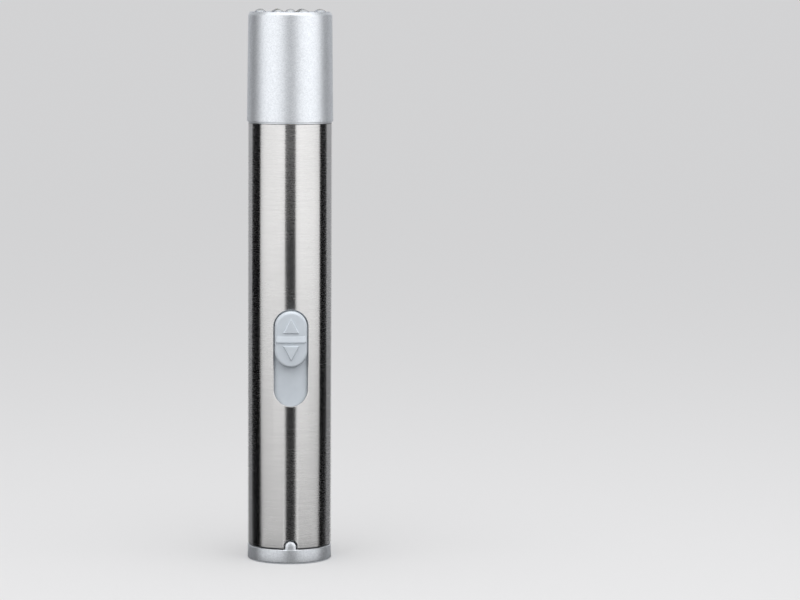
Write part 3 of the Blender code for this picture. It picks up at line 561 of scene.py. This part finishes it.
def stadium(width, low, high, inset=0.0, bends=48, straights=24):
    """A round-ended upright outline of (x, z) points, drawn in by an inset."""
    half = width / 2
    radius = max(half - inset, 0.0)
    upper, lower = high - half, low + half
    points = [(radius * cos(pi * s / bends), upper + radius * sin(pi * s / bends))
              for s in range(bends + 1)]
    points += [(-radius, upper + (lower - upper) * s / straights) for s in range(1, straights)]
    points += [(-radius * cos(pi * s / bends), lower - radius * sin(pi * s / bends))
               for s in range(bends + 1)]
    points += [(radius, lower + (upper - lower) * s / straights) for s in range(1, straights)]
    return points


def archway(width, low, high, inset=0.0, bends=32):
    """An outline that is square below and half round on top."""
    half = width / 2
    radius = half - inset
    crown = high - half
    points = [(radius * cos(pi * s / bends), crown + radius * sin(pi * s / bends))
              for s in range(bends + 1)]
    return points + [(-radius, low), (radius, low)]


# %% [markdown]
# ## Helpers for Geometry Nodes
# Each tree gets named inputs. A throwaway object runs it once with its inputs set, and
# what it made is kept as a plain mesh.

# %% Trees that grow a mesh
def new_tree(name, **sockets):
    """A Geometry Nodes tree with one geometry output and the named inputs."""
    tree = bpy.data.node_groups.new(name, "GeometryNodeTree")
    tree.interface.new_socket("Geometry", in_out="OUTPUT", socket_type="NodeSocketGeometry")
    for label, kind in sockets.items():
        tree.interface.new_socket(label.replace("_", " "), in_out="INPUT",
                                  socket_type="NodeSocket" + kind)
    inputs = tree.nodes.new("NodeGroupInput").outputs
    return tree, inputs, tree.nodes.new("NodeGroupOutput").inputs["Geometry"]


def finish_tree(tree, geometry, material, output):
    """Realize what the tree made and give it its material."""
    real = add_node(tree, "GeometryNodeRealizeInstances", {"Geometry": geometry})
    painted = add_node(tree, "GeometryNodeSetMaterial",
                       {"Geometry": real.outputs["Geometry"], "Material": material})
    tree.links.new(painted.outputs["Geometry"], output)


def grow(name, tree, **values):
    """Run a tree once and keep the result as a plain mesh."""
    holder = bpy.data.objects.new(name, bpy.data.meshes.new(name + "_seed"))
    bpy.context.scene.collection.objects.link(holder)
    modifier = holder.modifiers.new("grow", "NODES")
    modifier.node_group = tree
    sockets = {item.name: item.identifier for item in tree.interface.items_tree
               if item.in_out == "INPUT"}
    for label, value in values.items():
        modifier[sockets[label.replace("_", " ")]] = value
    graph = bpy.context.evaluated_depsgraph_get()
    mesh = bpy.data.meshes.new_from_object(holder.evaluated_get(graph))
    mesh.name = name
    holder.modifiers.remove(modifier)
    bpy.data.objects.remove(holder, do_unlink=True)
    return mesh


# %% [markdown]
# ## Steel sleeve
# The body of the flashlight is a length of thin steel tube, with a round-ended slot cut
# for the slider and a small notch at its foot. A tube is a rule, a rounded strip swept
# round a circle, so Geometry Nodes sweep it and cut it. The tools that cut it open out at
# the surface, which leaves the fine bevel that a real cut edge is given.

# %% Tools for the slot and the notch
SLOT_WIDTH, SLOT_BOTTOM, SLOT_TOP = 7.3 * MM, 34.0 * MM, 54.7 * MM
NOTCH_WIDTH, NOTCH_TOP = 3.0 * MM, 5.25 * MM
BEVEL = 0.12 * MM


def cutting_tool(name, outline):
    """A tool for the sleeve's wall that is wider by the bevel at the surface."""
    over = BEVEL / 4
    levels = ((0.0, SLEEVE_BORE - SLEEVE_WALL), (0.0, SLEEVE_RADIUS - BEVEL),
              (-BEVEL - over, SLEEVE_RADIUS + over), (-BEVEL - over, SLEEVE_RADIUS + SLOT_WIDTH))
    rings = [[on_cylinder(x, z, radius) for x, z in outline(inset)] for inset, radius in levels]
    tool = bpy.data.objects.new(name, to_mesh(name, ring_stack(rings), steel))
    bpy.context.scene.collection.objects.link(tool)
    return tool


slot_tool = cutting_tool(
    "slot_tool", lambda inset: stadium(SLOT_WIDTH, SLOT_BOTTOM, SLOT_TOP, inset))
notch_tool = cutting_tool(
    "notch_tool", lambda inset: archway(NOTCH_WIDTH, SLEEVE_FOOT - SLEEVE_WALL, NOTCH_TOP, inset))

# %% Sweep and cut the tube
tree, inputs, output = new_tree("tube", Middle_Radius="Float", Wall="Float", Length="Float",
                                Middle_Height="Float", Edge="Float", Columns="Int",
                                Slot_Tool="Object", Notch_Tool="Object", Finish="Material")
circle = add_node(tree, "GeometryNodeCurvePrimitiveCircle",
                  {"Resolution": inputs["Columns"], "Radius": inputs["Middle Radius"]},
                  mode="RADIUS")
strip = add_node(tree, "GeometryNodeCurvePrimitiveQuadrilateral",
                 {"Width": inputs["Wall"], "Height": inputs["Length"]}, mode="RECTANGLE")
eased = add_node(tree, "GeometryNodeFilletCurve",
                 {"Curve": strip.outputs["Curve"], "Radius": inputs["Edge"], "Count": 2},
                 mode="POLY")
swept = add_node(tree, "GeometryNodeCurveToMesh",
                 {"Curve": circle.outputs["Curve"], "Profile Curve": eased.outputs["Curve"]})
lift = add_node(tree, "ShaderNodeCombineXYZ", {"Z": inputs["Middle Height"]})
placed = add_node(tree, "GeometryNodeTransform",
                  {"Geometry": swept.outputs["Mesh"], "Translation": lift.outputs["Vector"]})
cut = add_node(tree, "GeometryNodeMeshBoolean", {"Mesh 1": placed.outputs["Geometry"]},
               operation="DIFFERENCE", solver="EXACT")
for label in ("Slot Tool", "Notch Tool"):
    tool = add_node(tree, "GeometryNodeObjectInfo", {"Object": inputs[label]})
    tree.links.new(tool.outputs["Geometry"], cut.inputs["Mesh 2"])
finish_tree(tree, cut.outputs["Mesh"], inputs["Finish"], output)
sleeve = grow("sleeve", tree, Middle_Radius=(SLEEVE_RADIUS + SLEEVE_BORE) / 2, Wall=SLEEVE_WALL,
              Length=SLEEVE_TOP - SLEEVE_FOOT, Middle_Height=(SLEEVE_TOP + SLEEVE_FOOT) / 2,
              Edge=BEVEL, Columns=ROUND_STEPS, Slot_Tool=slot_tool, Notch_Tool=notch_tool,
              Finish=steel)
for tool in (slot_tool, notch_tool):
    bpy.data.objects.remove(tool, do_unlink=True)
add_piece("brushed_sleeve", sleeve, "torch_body", ["steel_sleeve"])

# %% [markdown]
# ## Head
# The head is a moulded cap that screws over the nose of the chassis. It flares a little
# towards the tube, its rim slopes inward with rounded corners and catches the light from
# above, and a low lip under its foot nearly meets the steel, so the joint shows as a thin
# line. A lathe profile is all that it needs. The rim is insets and depths in millimetres.

# %% Turn the head
RIM_WIDTH = 0.35 * MM
FRONT_BORE = HEAD_TOP_RADIUS - RIM_WIDTH
POCKET_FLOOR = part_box("ground_sleeve")[1].z
FOOT_EDGE, SUPPORT = 0.2 * MM, 0.1 * MM
RIM = ((0.0, 0.66), (0.02, 0.58), (0.05, 0.52), (0.28, 0.14), (0.31, 0.05), (0.335, 0.0))
LIP_RADIUS, LIP_FOOT = SLEEVE_RADIUS - 0.03 * MM, SLEEVE_TOP + 0.08 * MM
profile = [(THREAD_BORE, LIP_FOOT + FOOT_EDGE), (THREAD_BORE + FOOT_EDGE, LIP_FOOT),
           (LIP_RADIUS, LIP_FOOT), (LIP_RADIUS, HEAD_FOOT),
           (HEAD_FOOT_RADIUS - FOOT_EDGE, HEAD_FOOT)]
profile += arc((HEAD_FOOT_RADIUS - FOOT_EDGE, HEAD_FOOT + FOOT_EDGE), FOOT_EDGE, -90, 0, 5)
profile += [(HEAD_FOOT_RADIUS, HEAD_FOOT + FOOT_EDGE + SUPPORT),
            (HEAD_TOP_RADIUS, HEAD_TOP - RIM[0][1] * MM - SUPPORT)]
profile += [(HEAD_TOP_RADIUS - inset * MM, HEAD_TOP - depth * MM) for inset, depth in RIM]
profile += [(FRONT_BORE, HEAD_TOP), (FRONT_BORE, POCKET_FLOOR), (THREAD_BORE, POCKET_FLOOR)]
add_piece("painted_head", lathe("painted_head", profile, paint), "head",
          ["head_shell"])

# %% [markdown]
# ## Foot ring
# The tail cap closes the tube. A ring of it shows below the steel, and a half-round key
# stands up from the ring into the sleeve's notch, so that the cap can't turn. The key is a
# short block whose face bulges in facets, joined to the turned cap by a boolean.

# %% Turn the foot ring
RING_HEIGHT = 3.1 * MM
RING_EDGE = 0.45 * MM
PLUG_RADIUS, PLUG_TOP = CELL_BORE - 0.2 * MM, 5.7 * MM
profile = [(0, 0), (SLEEVE_RADIUS - RING_EDGE - SUPPORT, 0)]
profile += arc((SLEEVE_RADIUS - RING_EDGE, RING_EDGE), RING_EDGE, -90, 0)
profile += [(SLEEVE_RADIUS, RING_EDGE + SUPPORT), (SLEEVE_RADIUS, RING_HEIGHT - BEVEL - SUPPORT),
            (SLEEVE_RADIUS, RING_HEIGHT - BEVEL), (SLEEVE_RADIUS - BEVEL, RING_HEIGHT),
            (PLUG_RADIUS, RING_HEIGHT), (PLUG_RADIUS, PLUG_TOP), (0, PLUG_TOP)]
cap = lathe("foot_ring", profile, paint)

# %% Add its key and its two lugs
KEY_WIDTH, KEY_TOP, KEY_THICKNESS, KEY_SINK = 2.3 * MM, 4.9 * MM, 0.6 * MM, 0.03 * MM
KEY_FACETS = ((0.0, 0.34 * MM), (0.18 * MM, 0.16 * MM), (0.46 * MM, 0.05 * MM), (0.8 * MM, 0.0))
LUG_WIDTH, LUG_HEIGHT, LUG_LOW, LUG_REACH = 2.4 * MM, 0.8 * MM, 4.2 * MM, 0.6 * MM
key_face = SLEEVE_RADIUS - KEY_SINK
levels = [(0.0, key_face - KEY_THICKNESS)]
levels += [(inset, key_face - below) for inset, below in KEY_FACETS]
rings = [[(x, -reach, z) for x, z in archway(KEY_WIDTH, RING_HEIGHT / 2, KEY_TOP, inset)]
         for inset, reach in levels]
tools = [("UNION", to_mesh("key", ring_stack(rings), paint))]
for side in (-1, 1):
    inner, outer = side * PLUG_RADIUS / 2, side * (PLUG_RADIUS + LUG_REACH)
    corners = [(inner, -LUG_WIDTH / 2), (outer, -LUG_WIDTH / 2),
               (outer, LUG_WIDTH / 2), (inner, LUG_WIDTH / 2)]
    rings = [[(x, y, z) for x, y in corners] for z in (LUG_LOW, LUG_LOW + LUG_HEIGHT)]
    tools.append(("UNION", to_mesh("lug", ring_stack(rings), paint)))
add_piece("foot_ring", combined("foot_ring", cap, tools, paint), "torch_body",
          ["tail_cap"])

# %% [markdown]
# ## Thumb slider
# The slider is one grey moulding: a curved slide plate that fills the slot, and on it a
# round-ended thumb block with a rolled edge, a ridge and two raised arrowheads. The block's
# face is a height map in code. Rings drawn in from its outline carry the points, and each
# point rises by a soft step over the distance to the ridge or an arrowhead, so every edge
# of the relief gets the small radius that a mould has.

# %% Relief of the thumb block
KNOB_LOW, KNOB_HIGH = 42.45 * MM, 54.45 * MM
KNOB_WIDTH, KNOB_FACE = 6.9 * MM, 10.2 * MM
KNOB_EDGE = 0.6 * MM
KNOB_CENTRE = (KNOB_LOW + KNOB_HIGH) / 2
RELIEF, SOFTNESS = 0.3 * MM, 0.1 * MM
BAR_HALF_WIDTH, BAR_HALF_HEIGHT = KNOB_WIDTH / 2 - 0.2 * MM, 0.65 * MM
ARROW_HALF_WIDTH, ARROW_HEIGHT, ARROW_BASE = 1.62 * MM, 3.05 * MM, 1.4 * MM
LEAN_LOW, LEAN_REACH = 0.2, 1.6   # the ridge's height at its upper edge, how far it slopes


def soft_step(distance):
    """One well inside a shape, nothing well outside, a smooth slope between."""
    share = min(max(0.5 - distance / SOFTNESS, 0.0), 1.0)
    return share * share * (3 - 2 * share)


def arrow_distance(x, up):
    """Signed distance to a triangle that points up from its base, about zero at its edges."""
    slope = hypot(ARROW_HEIGHT, ARROW_HALF_WIDTH)
    side = ((abs(x) - ARROW_HALF_WIDTH) * ARROW_HEIGHT
            + (up - ARROW_BASE) * ARROW_HALF_WIDTH) / slope
    return max(side, ARROW_BASE - up)


def relief(x, z):
    """How far the face rises at a point: the ridge leans, so it catches the thumb."""
    up = z - KNOB_CENTRE
    share = min(max((BAR_HALF_HEIGHT - up) / (LEAN_REACH * BAR_HALF_HEIGHT), 0.0), 1.0)
    lean = LEAN_LOW + (1 - LEAN_LOW) * share
    ridge = soft_step(max(abs(up) - BAR_HALF_HEIGHT, abs(x) - BAR_HALF_WIDTH)) * lean
    arrows = soft_step(arrow_distance(x, abs(up)))
    return RELIEF * max(ridge, arrows)


# %% Build the thumb block
PLATE_INNER, PLATE_OUTER = 7.3 * MM, 8.2 * MM
FACE_STEP = 0.045 * MM
EDGE_STEPS = 9
BLOCK_BENDS, BLOCK_STRAIGHTS = 130, 100


def block_ring(inset, radius, with_relief):
    """One ring of the block at an inset from its outline."""
    outline = stadium(KNOB_WIDTH, KNOB_LOW, KNOB_HIGH, inset, BLOCK_BENDS, BLOCK_STRAIGHTS)
    return [on_cylinder(x, z, radius + (relief(x, z) if with_relief else 0.0))
            for x, z in outline]


rings = [block_ring(0.0, (PLATE_INNER + PLATE_OUTER) / 2, False)]
for step in range(EDGE_STEPS + 1):
    angle = pi / 2 * step / EDGE_STEPS
    rings.append(block_ring(KNOB_EDGE * (1 - cos(angle)),
                            KNOB_FACE - KNOB_EDGE * (1 - sin(angle)), step > 0))
inset = KNOB_EDGE + FACE_STEP
while inset < KNOB_WIDTH / 2 - FACE_STEP / 2:
    rings.append(block_ring(inset, KNOB_FACE, True))
    inset += FACE_STEP
rings.append(block_ring(KNOB_WIDTH / 2, KNOB_FACE, True))    # the two sides meet on a line
block = bmesh.new()
loops = [[block.verts.new(point) for point in ring] for ring in rings]
count = len(loops[0])
for below, above in zip(loops, loops[1:]):
    for here in range(count):
        after = (here + 1) % count
        block.faces.new((below[here], below[after], above[after], above[here]))
block.faces.new(loops[0])
block_mesh = to_mesh("thumb_block", block, grey_plastic)
print(f"thumb block: {len(rings)} rings of {count} points")

# %% Slide plate and the joined slider
PLATE_LOW, PLATE_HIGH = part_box("switch_knob")[0].z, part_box("switch_knob")[1].z
PLATE_HALF_WIDTH = 4.65 * MM
PLATE_COLUMNS = 60
plate = bmesh.new()
columns = []
for step in range(PLATE_COLUMNS + 1):
    x = PLATE_HALF_WIDTH * (2 * step / PLATE_COLUMNS - 1)
    columns.append([plate.verts.new(on_cylinder(x, z, radius)) for z, radius in
                    ((PLATE_LOW, PLATE_INNER), (PLATE_LOW, PLATE_OUTER),
                     (PLATE_HIGH, PLATE_OUTER), (PLATE_HIGH, PLATE_INNER))])
for left, right in zip(columns, columns[1:]):
    for side in range(4):
        after = (side + 1) % 4
        plate.faces.new((left[side], left[after], right[after], right[side]))
plate.faces.new(columns[0])
plate.faces.new(columns[-1])
plate_mesh = to_mesh("slide_plate", plate, grey_plastic)
slider = bmesh.new()
for mesh in (plate_mesh, block_mesh):
    slider.from_mesh(mesh)
add_piece("moulded_slider", to_mesh("moulded_slider", slider, grey_plastic), "thumb_slider",
          ["switch_knob"], sharp=radians(40))

# %% [markdown]
# ## LEDs
# Nine clear 3 mm LEDs stand in the front plate, eight round one. Each is a domed epoxy
# body cast over a metal frame, whose cup holds the chip under a dot of yellow phosphor.
# One of each part is made, and Geometry Nodes set it on a ring of points and on the axis.

# %% Parts of one LED
LED_LOW, LED_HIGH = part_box("led_1")
LED_RING_RADIUS = 6.89 * MM
LED_COUNT = 8
LED_RADIUS, FLANGE_RADIUS, FLANGE_HEIGHT, LED_LENGTH = 1.45 * MM, 1.65 * MM, 0.8 * MM, 5.2 * MM
LED_FOOT = LED_HIGH.z - LED_LENGTH
PIN_REACH, PIN_HALF = 1.27 * MM, 0.25 * MM
CUP_FOOT, CUP_TOP, CUP_RADIUS = LED_FOOT + 1.9 * MM, LED_FOOT + 3.0 * MM, 0.62 * MM
CUP_WALL, STEM_RADIUS, STEM_HEIGHT = 0.08 * MM, 0.3 * MM, 0.5 * MM
BOWL_RADIUS, BOWL_DEPTH = CUP_RADIUS - 0.3 * MM, 0.45 * MM
DOT_LOW_RADIUS, DOT_HIGH_RADIUS = CUP_RADIUS - 0.27 * MM, CUP_RADIUS - 0.1 * MM
DOT_DEPTH, DOT_EDGE, DOT_CROWN = 0.4 * MM, 0.04 * MM, 0.06 * MM


def loose_part(name, mesh):
    """A part for a tree to copy."""
    item = bpy.data.objects.new(name, mesh)
    bpy.context.scene.collection.objects.link(item)
    return item


profile = [(0, LED_FOOT), (FLANGE_RADIUS, LED_FOOT), (FLANGE_RADIUS, LED_FOOT + FLANGE_HEIGHT),
           (LED_RADIUS, LED_FOOT + FLANGE_HEIGHT), (LED_RADIUS, LED_HIGH.z - LED_RADIUS - SUPPORT)]
profile += arc((0, LED_HIGH.z - LED_RADIUS), LED_RADIUS, 0, 90, 16)[:-1] + [(0, LED_HIGH.z)]
lens = loose_part("lens", lathe("lens", profile, epoxy, 48))
profile = [(0, CUP_FOOT - STEM_HEIGHT), (STEM_RADIUS, CUP_FOOT - STEM_HEIGHT),
           (CUP_RADIUS, CUP_FOOT), (CUP_RADIUS, CUP_TOP), (CUP_RADIUS - CUP_WALL, CUP_TOP),
           (BOWL_RADIUS, CUP_TOP - BOWL_DEPTH), (0, CUP_TOP - BOWL_DEPTH)]
cup = lathe("cup", profile, spring_steel, 32)
profile = [(0, CUP_TOP - DOT_DEPTH), (DOT_LOW_RADIUS, CUP_TOP - DOT_DEPTH),
           (DOT_HIGH_RADIUS, CUP_TOP - DOT_EDGE), (0, CUP_TOP + DOT_CROWN)]
dot = loose_part("dot", lathe("dot", profile, phosphor, 24))

# %% Lead frame with its two pins
PIN_NECK = 1.0 * MM


def pin(x, low, high, top_x):
    """A square upright pin that leans inward at its top."""
    return ring_stack([[(centre + sx * PIN_HALF, sy * PIN_HALF, z)
                        for sx, sy in ((-1, -1), (1, -1), (1, 1), (-1, 1))]
                       for centre, z in ((x, low), (x, high - PIN_NECK), (top_x, high))])


frame_parts = [cup]
for x, top, top_x in ((-PIN_REACH, CUP_FOOT, -0.35 * MM),
                      (PIN_REACH, CUP_TOP - 0.2 * MM, 0.8 * MM)):
    frame_parts.append(to_mesh("pin", pin(x, LED_LOW.z, top, top_x), spring_steel))
together = bmesh.new()
for mesh in frame_parts:
    together.from_mesh(mesh)
lead_frame = loose_part("lead_frame", to_mesh("lead_frame", together, spring_steel))

# %% Set them round the axis
tree, inputs, output = new_tree("ring_and_centre", Part="Object", Ring_Radius="Float",
                                Count="Int", Turn="Float", Finish="Material")
part = add_node(tree, "GeometryNodeObjectInfo", {"Object": inputs["Part"]})
ring = add_node(tree, "GeometryNodeMeshCircle",
                {"Vertices": inputs["Count"], "Radius": inputs["Ring Radius"]})
spin = add_node(tree, "ShaderNodeCombineXYZ", {"Z": inputs["Turn"]})
turned_ring = add_node(tree, "GeometryNodeTransform",
                       {"Geometry": ring.outputs["Mesh"], "Rotation": spin.outputs["Vector"]})
place = add_node(tree, "GeometryNodeInputPosition")
facing = add_node(tree, "FunctionNodeAlignRotationToVector",
                  {"Vector": place.outputs["Position"]}, axis="Y", pivot_axis="Z")
copies = add_node(tree, "GeometryNodeInstanceOnPoints",
                  {"Points": turned_ring.outputs["Geometry"], "Instance": part.outputs["Geometry"],
                   "Rotation": facing.outputs["Rotation"]})
whole = add_node(tree, "GeometryNodeJoinGeometry", {"Geometry": copies.outputs["Instances"]})
tree.links.new(part.outputs["Geometry"], whole.inputs["Geometry"])
finish_tree(tree, whole.outputs["Geometry"], inputs["Finish"], output)
nine = {"Ring_Radius": LED_RING_RADIUS, "Count": LED_COUNT, "Turn": pi / LED_COUNT}
add_piece("led_lenses", grow("led_lenses", tree, Part=lens, Finish=epoxy, **nine), "head",
          [f"led_{number}" for number in range(1, 10)])
add_piece("led_lead_frames", grow("led_lead_frames", tree, Part=lead_frame, Finish=spring_steel,
                                  **nine), "head")
add_piece("led_phosphor_dots", grow("led_phosphor_dots", tree, Part=dot, Finish=phosphor, **nine),
          "head")

# %% [markdown]
# ## Front plate
# The plate round the LEDs is a bright moulding with a shallow cup round each lens, which
# throws the stray light forward. The same tree that set the LEDs sets the tools that cut
# the cups, so cups and lenses can't drift apart.

# %% Cut the front plate
HOLDER_LOW, HOLDER_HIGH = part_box("led_holder")
HOLE, CUP_DEPTH, CUP_FLARE = LED_RADIUS + 0.06 * MM, 0.7 * MM, 0.14 * MM
profile = [(0, HOLDER_LOW.z), (HOLDER_HIGH.x, HOLDER_LOW.z),
           (HOLDER_HIGH.x, HOLDER_HIGH.z - SUPPORT), (HOLDER_HIGH.x - SUPPORT, HOLDER_HIGH.z),
           (0, HOLDER_HIGH.z)]
disc = lathe("front_plate", profile, paint)
profile = [(0, HOLDER_LOW.z - MM), (HOLE, HOLDER_LOW.z - MM), (HOLE, HOLDER_HIGH.z - CUP_DEPTH),
           (HOLE + CUP_FLARE, HOLDER_HIGH.z), (HOLE + CUP_FLARE, HOLDER_HIGH.z + MM),
           (0, HOLDER_HIGH.z + MM)]
reamer = loose_part("reamer", lathe("reamer", profile, paint, 48))
cutters = grow("cutters", tree, Part=reamer, Finish=paint, **nine)
front_plate = combined("front_plate", disc, [("DIFFERENCE", cutters)], paint)
add_piece("front_plate", front_plate, "head", ["led_holder"])
for item in (lens, lead_frame, dot, reamer):
    bpy.data.objects.remove(item, do_unlink=True)

# %% [markdown]
# ## Threads
# The head screws onto the nose of the chassis by eight turns of a 1 mm thread. The CAD
# model keeps both as plain cylinders. Here each gets its ridge: a small round section
# swept along a spiral that fades out at both ends. The head's ridge lies half a pitch
# from the nose's, so the two run side by side.

# %% Sweep the two threads
PITCH = 1.0 * MM
THREAD_TURNS = 5
NOSE_RADIUS = 7.6 * MM
RIDGE = 0.22 * MM
THREAD_FOOT = 96.7 * MM
FADE = 0.05                       # share of the ridge that fades out at each end
tree, inputs, output = new_tree("thread", Radius="Float", Ridge="Float", Height="Float",
                                Foot="Float", Turns="Float", Finish="Material")
spiral = add_node(tree, "GeometryNodeCurveSpiral",
                  {"Resolution": 96, "Rotations": inputs["Turns"], "Start Radius": inputs["Radius"],
                   "End Radius": inputs["Radius"], "Height": inputs["Height"]})
along = add_node(tree, "GeometryNodeSplineParameter")
fade = add_node(tree, "ShaderNodeFloatCurve", {"Value": along.outputs["Factor"]})
for place in (FADE, 1 - FADE):
    fade.mapping.curves[0].points.new(place, 1.0)
fade.mapping.curves[0].points[-1].location = (1.0, 0.0)
fade.mapping.update()
thinned = add_node(tree, "GeometryNodeSetCurveRadius",
                   {"Curve": spiral.outputs["Curve"], "Radius": fade.outputs["Value"]})
section = add_node(tree, "GeometryNodeCurvePrimitiveCircle",
                   {"Resolution": 8, "Radius": inputs["Ridge"]}, mode="RADIUS")
ridge = add_node(tree, "GeometryNodeCurveToMesh",
                 {"Curve": thinned.outputs["Curve"], "Profile Curve": section.outputs["Curve"],
                  "Fill Caps": True})
lift = add_node(tree, "ShaderNodeCombineXYZ", {"Z": inputs["Foot"]})
raised = add_node(tree, "GeometryNodeTransform",
                  {"Geometry": ridge.outputs["Mesh"], "Translation": lift.outputs["Vector"]})
finish_tree(tree, raised.outputs["Geometry"], inputs["Finish"], output)
common = {"Ridge": RIDGE, "Height": THREAD_TURNS * PITCH, "Turns": float(THREAD_TURNS)}
nose_thread = grow("nose_thread", tree, Radius=NOSE_RADIUS, Foot=THREAD_FOOT,
                   Finish=black_plastic, **common)
add_piece("nose_thread", nose_thread, "torch_body", sharp=SHARP_ON_CURVES)
head_thread = grow("head_thread", tree, Radius=THREAD_BORE, Foot=THREAD_FOOT + PITCH / 2,
                   Finish=paint, **common)
add_piece("head_thread", head_thread, "head", sharp=SHARP_ON_CURVES)

# %% [markdown]
# ## Springs
# Two coil springs clamp the cells: a wide one at the tail and a tapered one under the LED
# board. Their end turns lie flat, as on a real spring. A flat spiral is lifted by a curve
# that starts and ends level, and a round wire is swept along it.

# %% Wind the springs
WIRE_RADIUS = 0.25 * MM
SPRINGS = {
    # name: body, node, foot radius, top radius, turns, share of the wire that lies level
    "tail_coil": ("torch_body", "tail_spring", 4.0 * MM, 2.8 * MM, 3.5, 0.17),
    "head_coil": ("head", "head_spring", 1.6 * MM, 3.2 * MM, 6.5, 0.1),
}
tree, inputs, output = new_tree("spring", Foot_Radius="Float", Top_Radius="Float",
                                Foot="Float", Height="Float", Turns="Float", Wire="Float",
                                Level_Share="Float", Finish="Material")
spiral = add_node(tree, "GeometryNodeCurveSpiral",
                  {"Resolution": 48, "Rotations": inputs["Turns"],
                   "Start Radius": inputs["Foot Radius"], "End Radius": inputs["Top Radius"],
                   "Height": 0.0})
along = add_node(tree, "GeometryNodeSplineParameter")
after = add_node(tree, "ShaderNodeMath", {0: 1.0, 1: inputs["Level Share"]}, operation="SUBTRACT")
rise = add_node(tree, "ShaderNodeMapRange",
                {"Value": along.outputs["Factor"], "From Min": inputs["Level Share"],
                 "From Max": after.outputs[0], "To Min": 0.0, "To Max": inputs["Height"]},
                interpolation_type="LINEAR")
height = add_node(tree, "ShaderNodeMath", {0: rise.outputs["Result"], 1: inputs["Foot"]},
                  operation="ADD")
offset = add_node(tree, "ShaderNodeCombineXYZ", {"Z": height.outputs[0]})
coil = add_node(tree, "GeometryNodeSetPosition",
                {"Geometry": spiral.outputs["Curve"], "Offset": offset.outputs["Vector"]})
wire = add_node(tree, "GeometryNodeCurvePrimitiveCircle",
                {"Resolution": 16, "Radius": inputs["Wire"]}, mode="RADIUS")
swept = add_node(tree, "GeometryNodeCurveToMesh",
                 {"Curve": coil.outputs["Geometry"], "Profile Curve": wire.outputs["Curve"],
                  "Fill Caps": True})
finish_tree(tree, swept.outputs["Mesh"], inputs["Finish"], output)
for label, (body, node, foot_radius, top_radius, turns, level) in SPRINGS.items():
    low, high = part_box(node)
    mesh = grow(label, tree, Foot_Radius=foot_radius, Top_Radius=top_radius,
                Foot=low.z + WIRE_RADIUS, Height=high.z - low.z - 2 * WIRE_RADIUS, Turns=turns,
                Wire=WIRE_RADIUS, Level_Share=level, Finish=spring_steel)
    add_piece(label, mesh, body, [node], sharp=SHARP_ON_CURVES)

# %% [markdown]
# ## Inner pieces
# The rest keeps its CAD shape: chassis, cells, brass strips, bridge, ground ring, board,
# resistor and seal. Each gets the finish of its record slot.

# %% Finish the CAD nodes
FINISHES = {
    "chassis": black_plastic, "neck_o_ring": rubber, "lower_contact_strip": brass,
    "upper_contact_strip": brass, "switch_contact": brass, "ground_sleeve": brass,
    "lower_cell_can": jacket, "upper_cell_can": jacket, "lower_cell_cap": spring_steel,
    "upper_cell_cap": spring_steel, "led_board": laminate, "current_resistor": ceramic,
}
for node, material in FINISHES.items():
    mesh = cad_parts[node].data
    mesh.materials.clear()
    mesh.materials.append(material)
print("finished CAD nodes:", ", ".join(FINISHES))
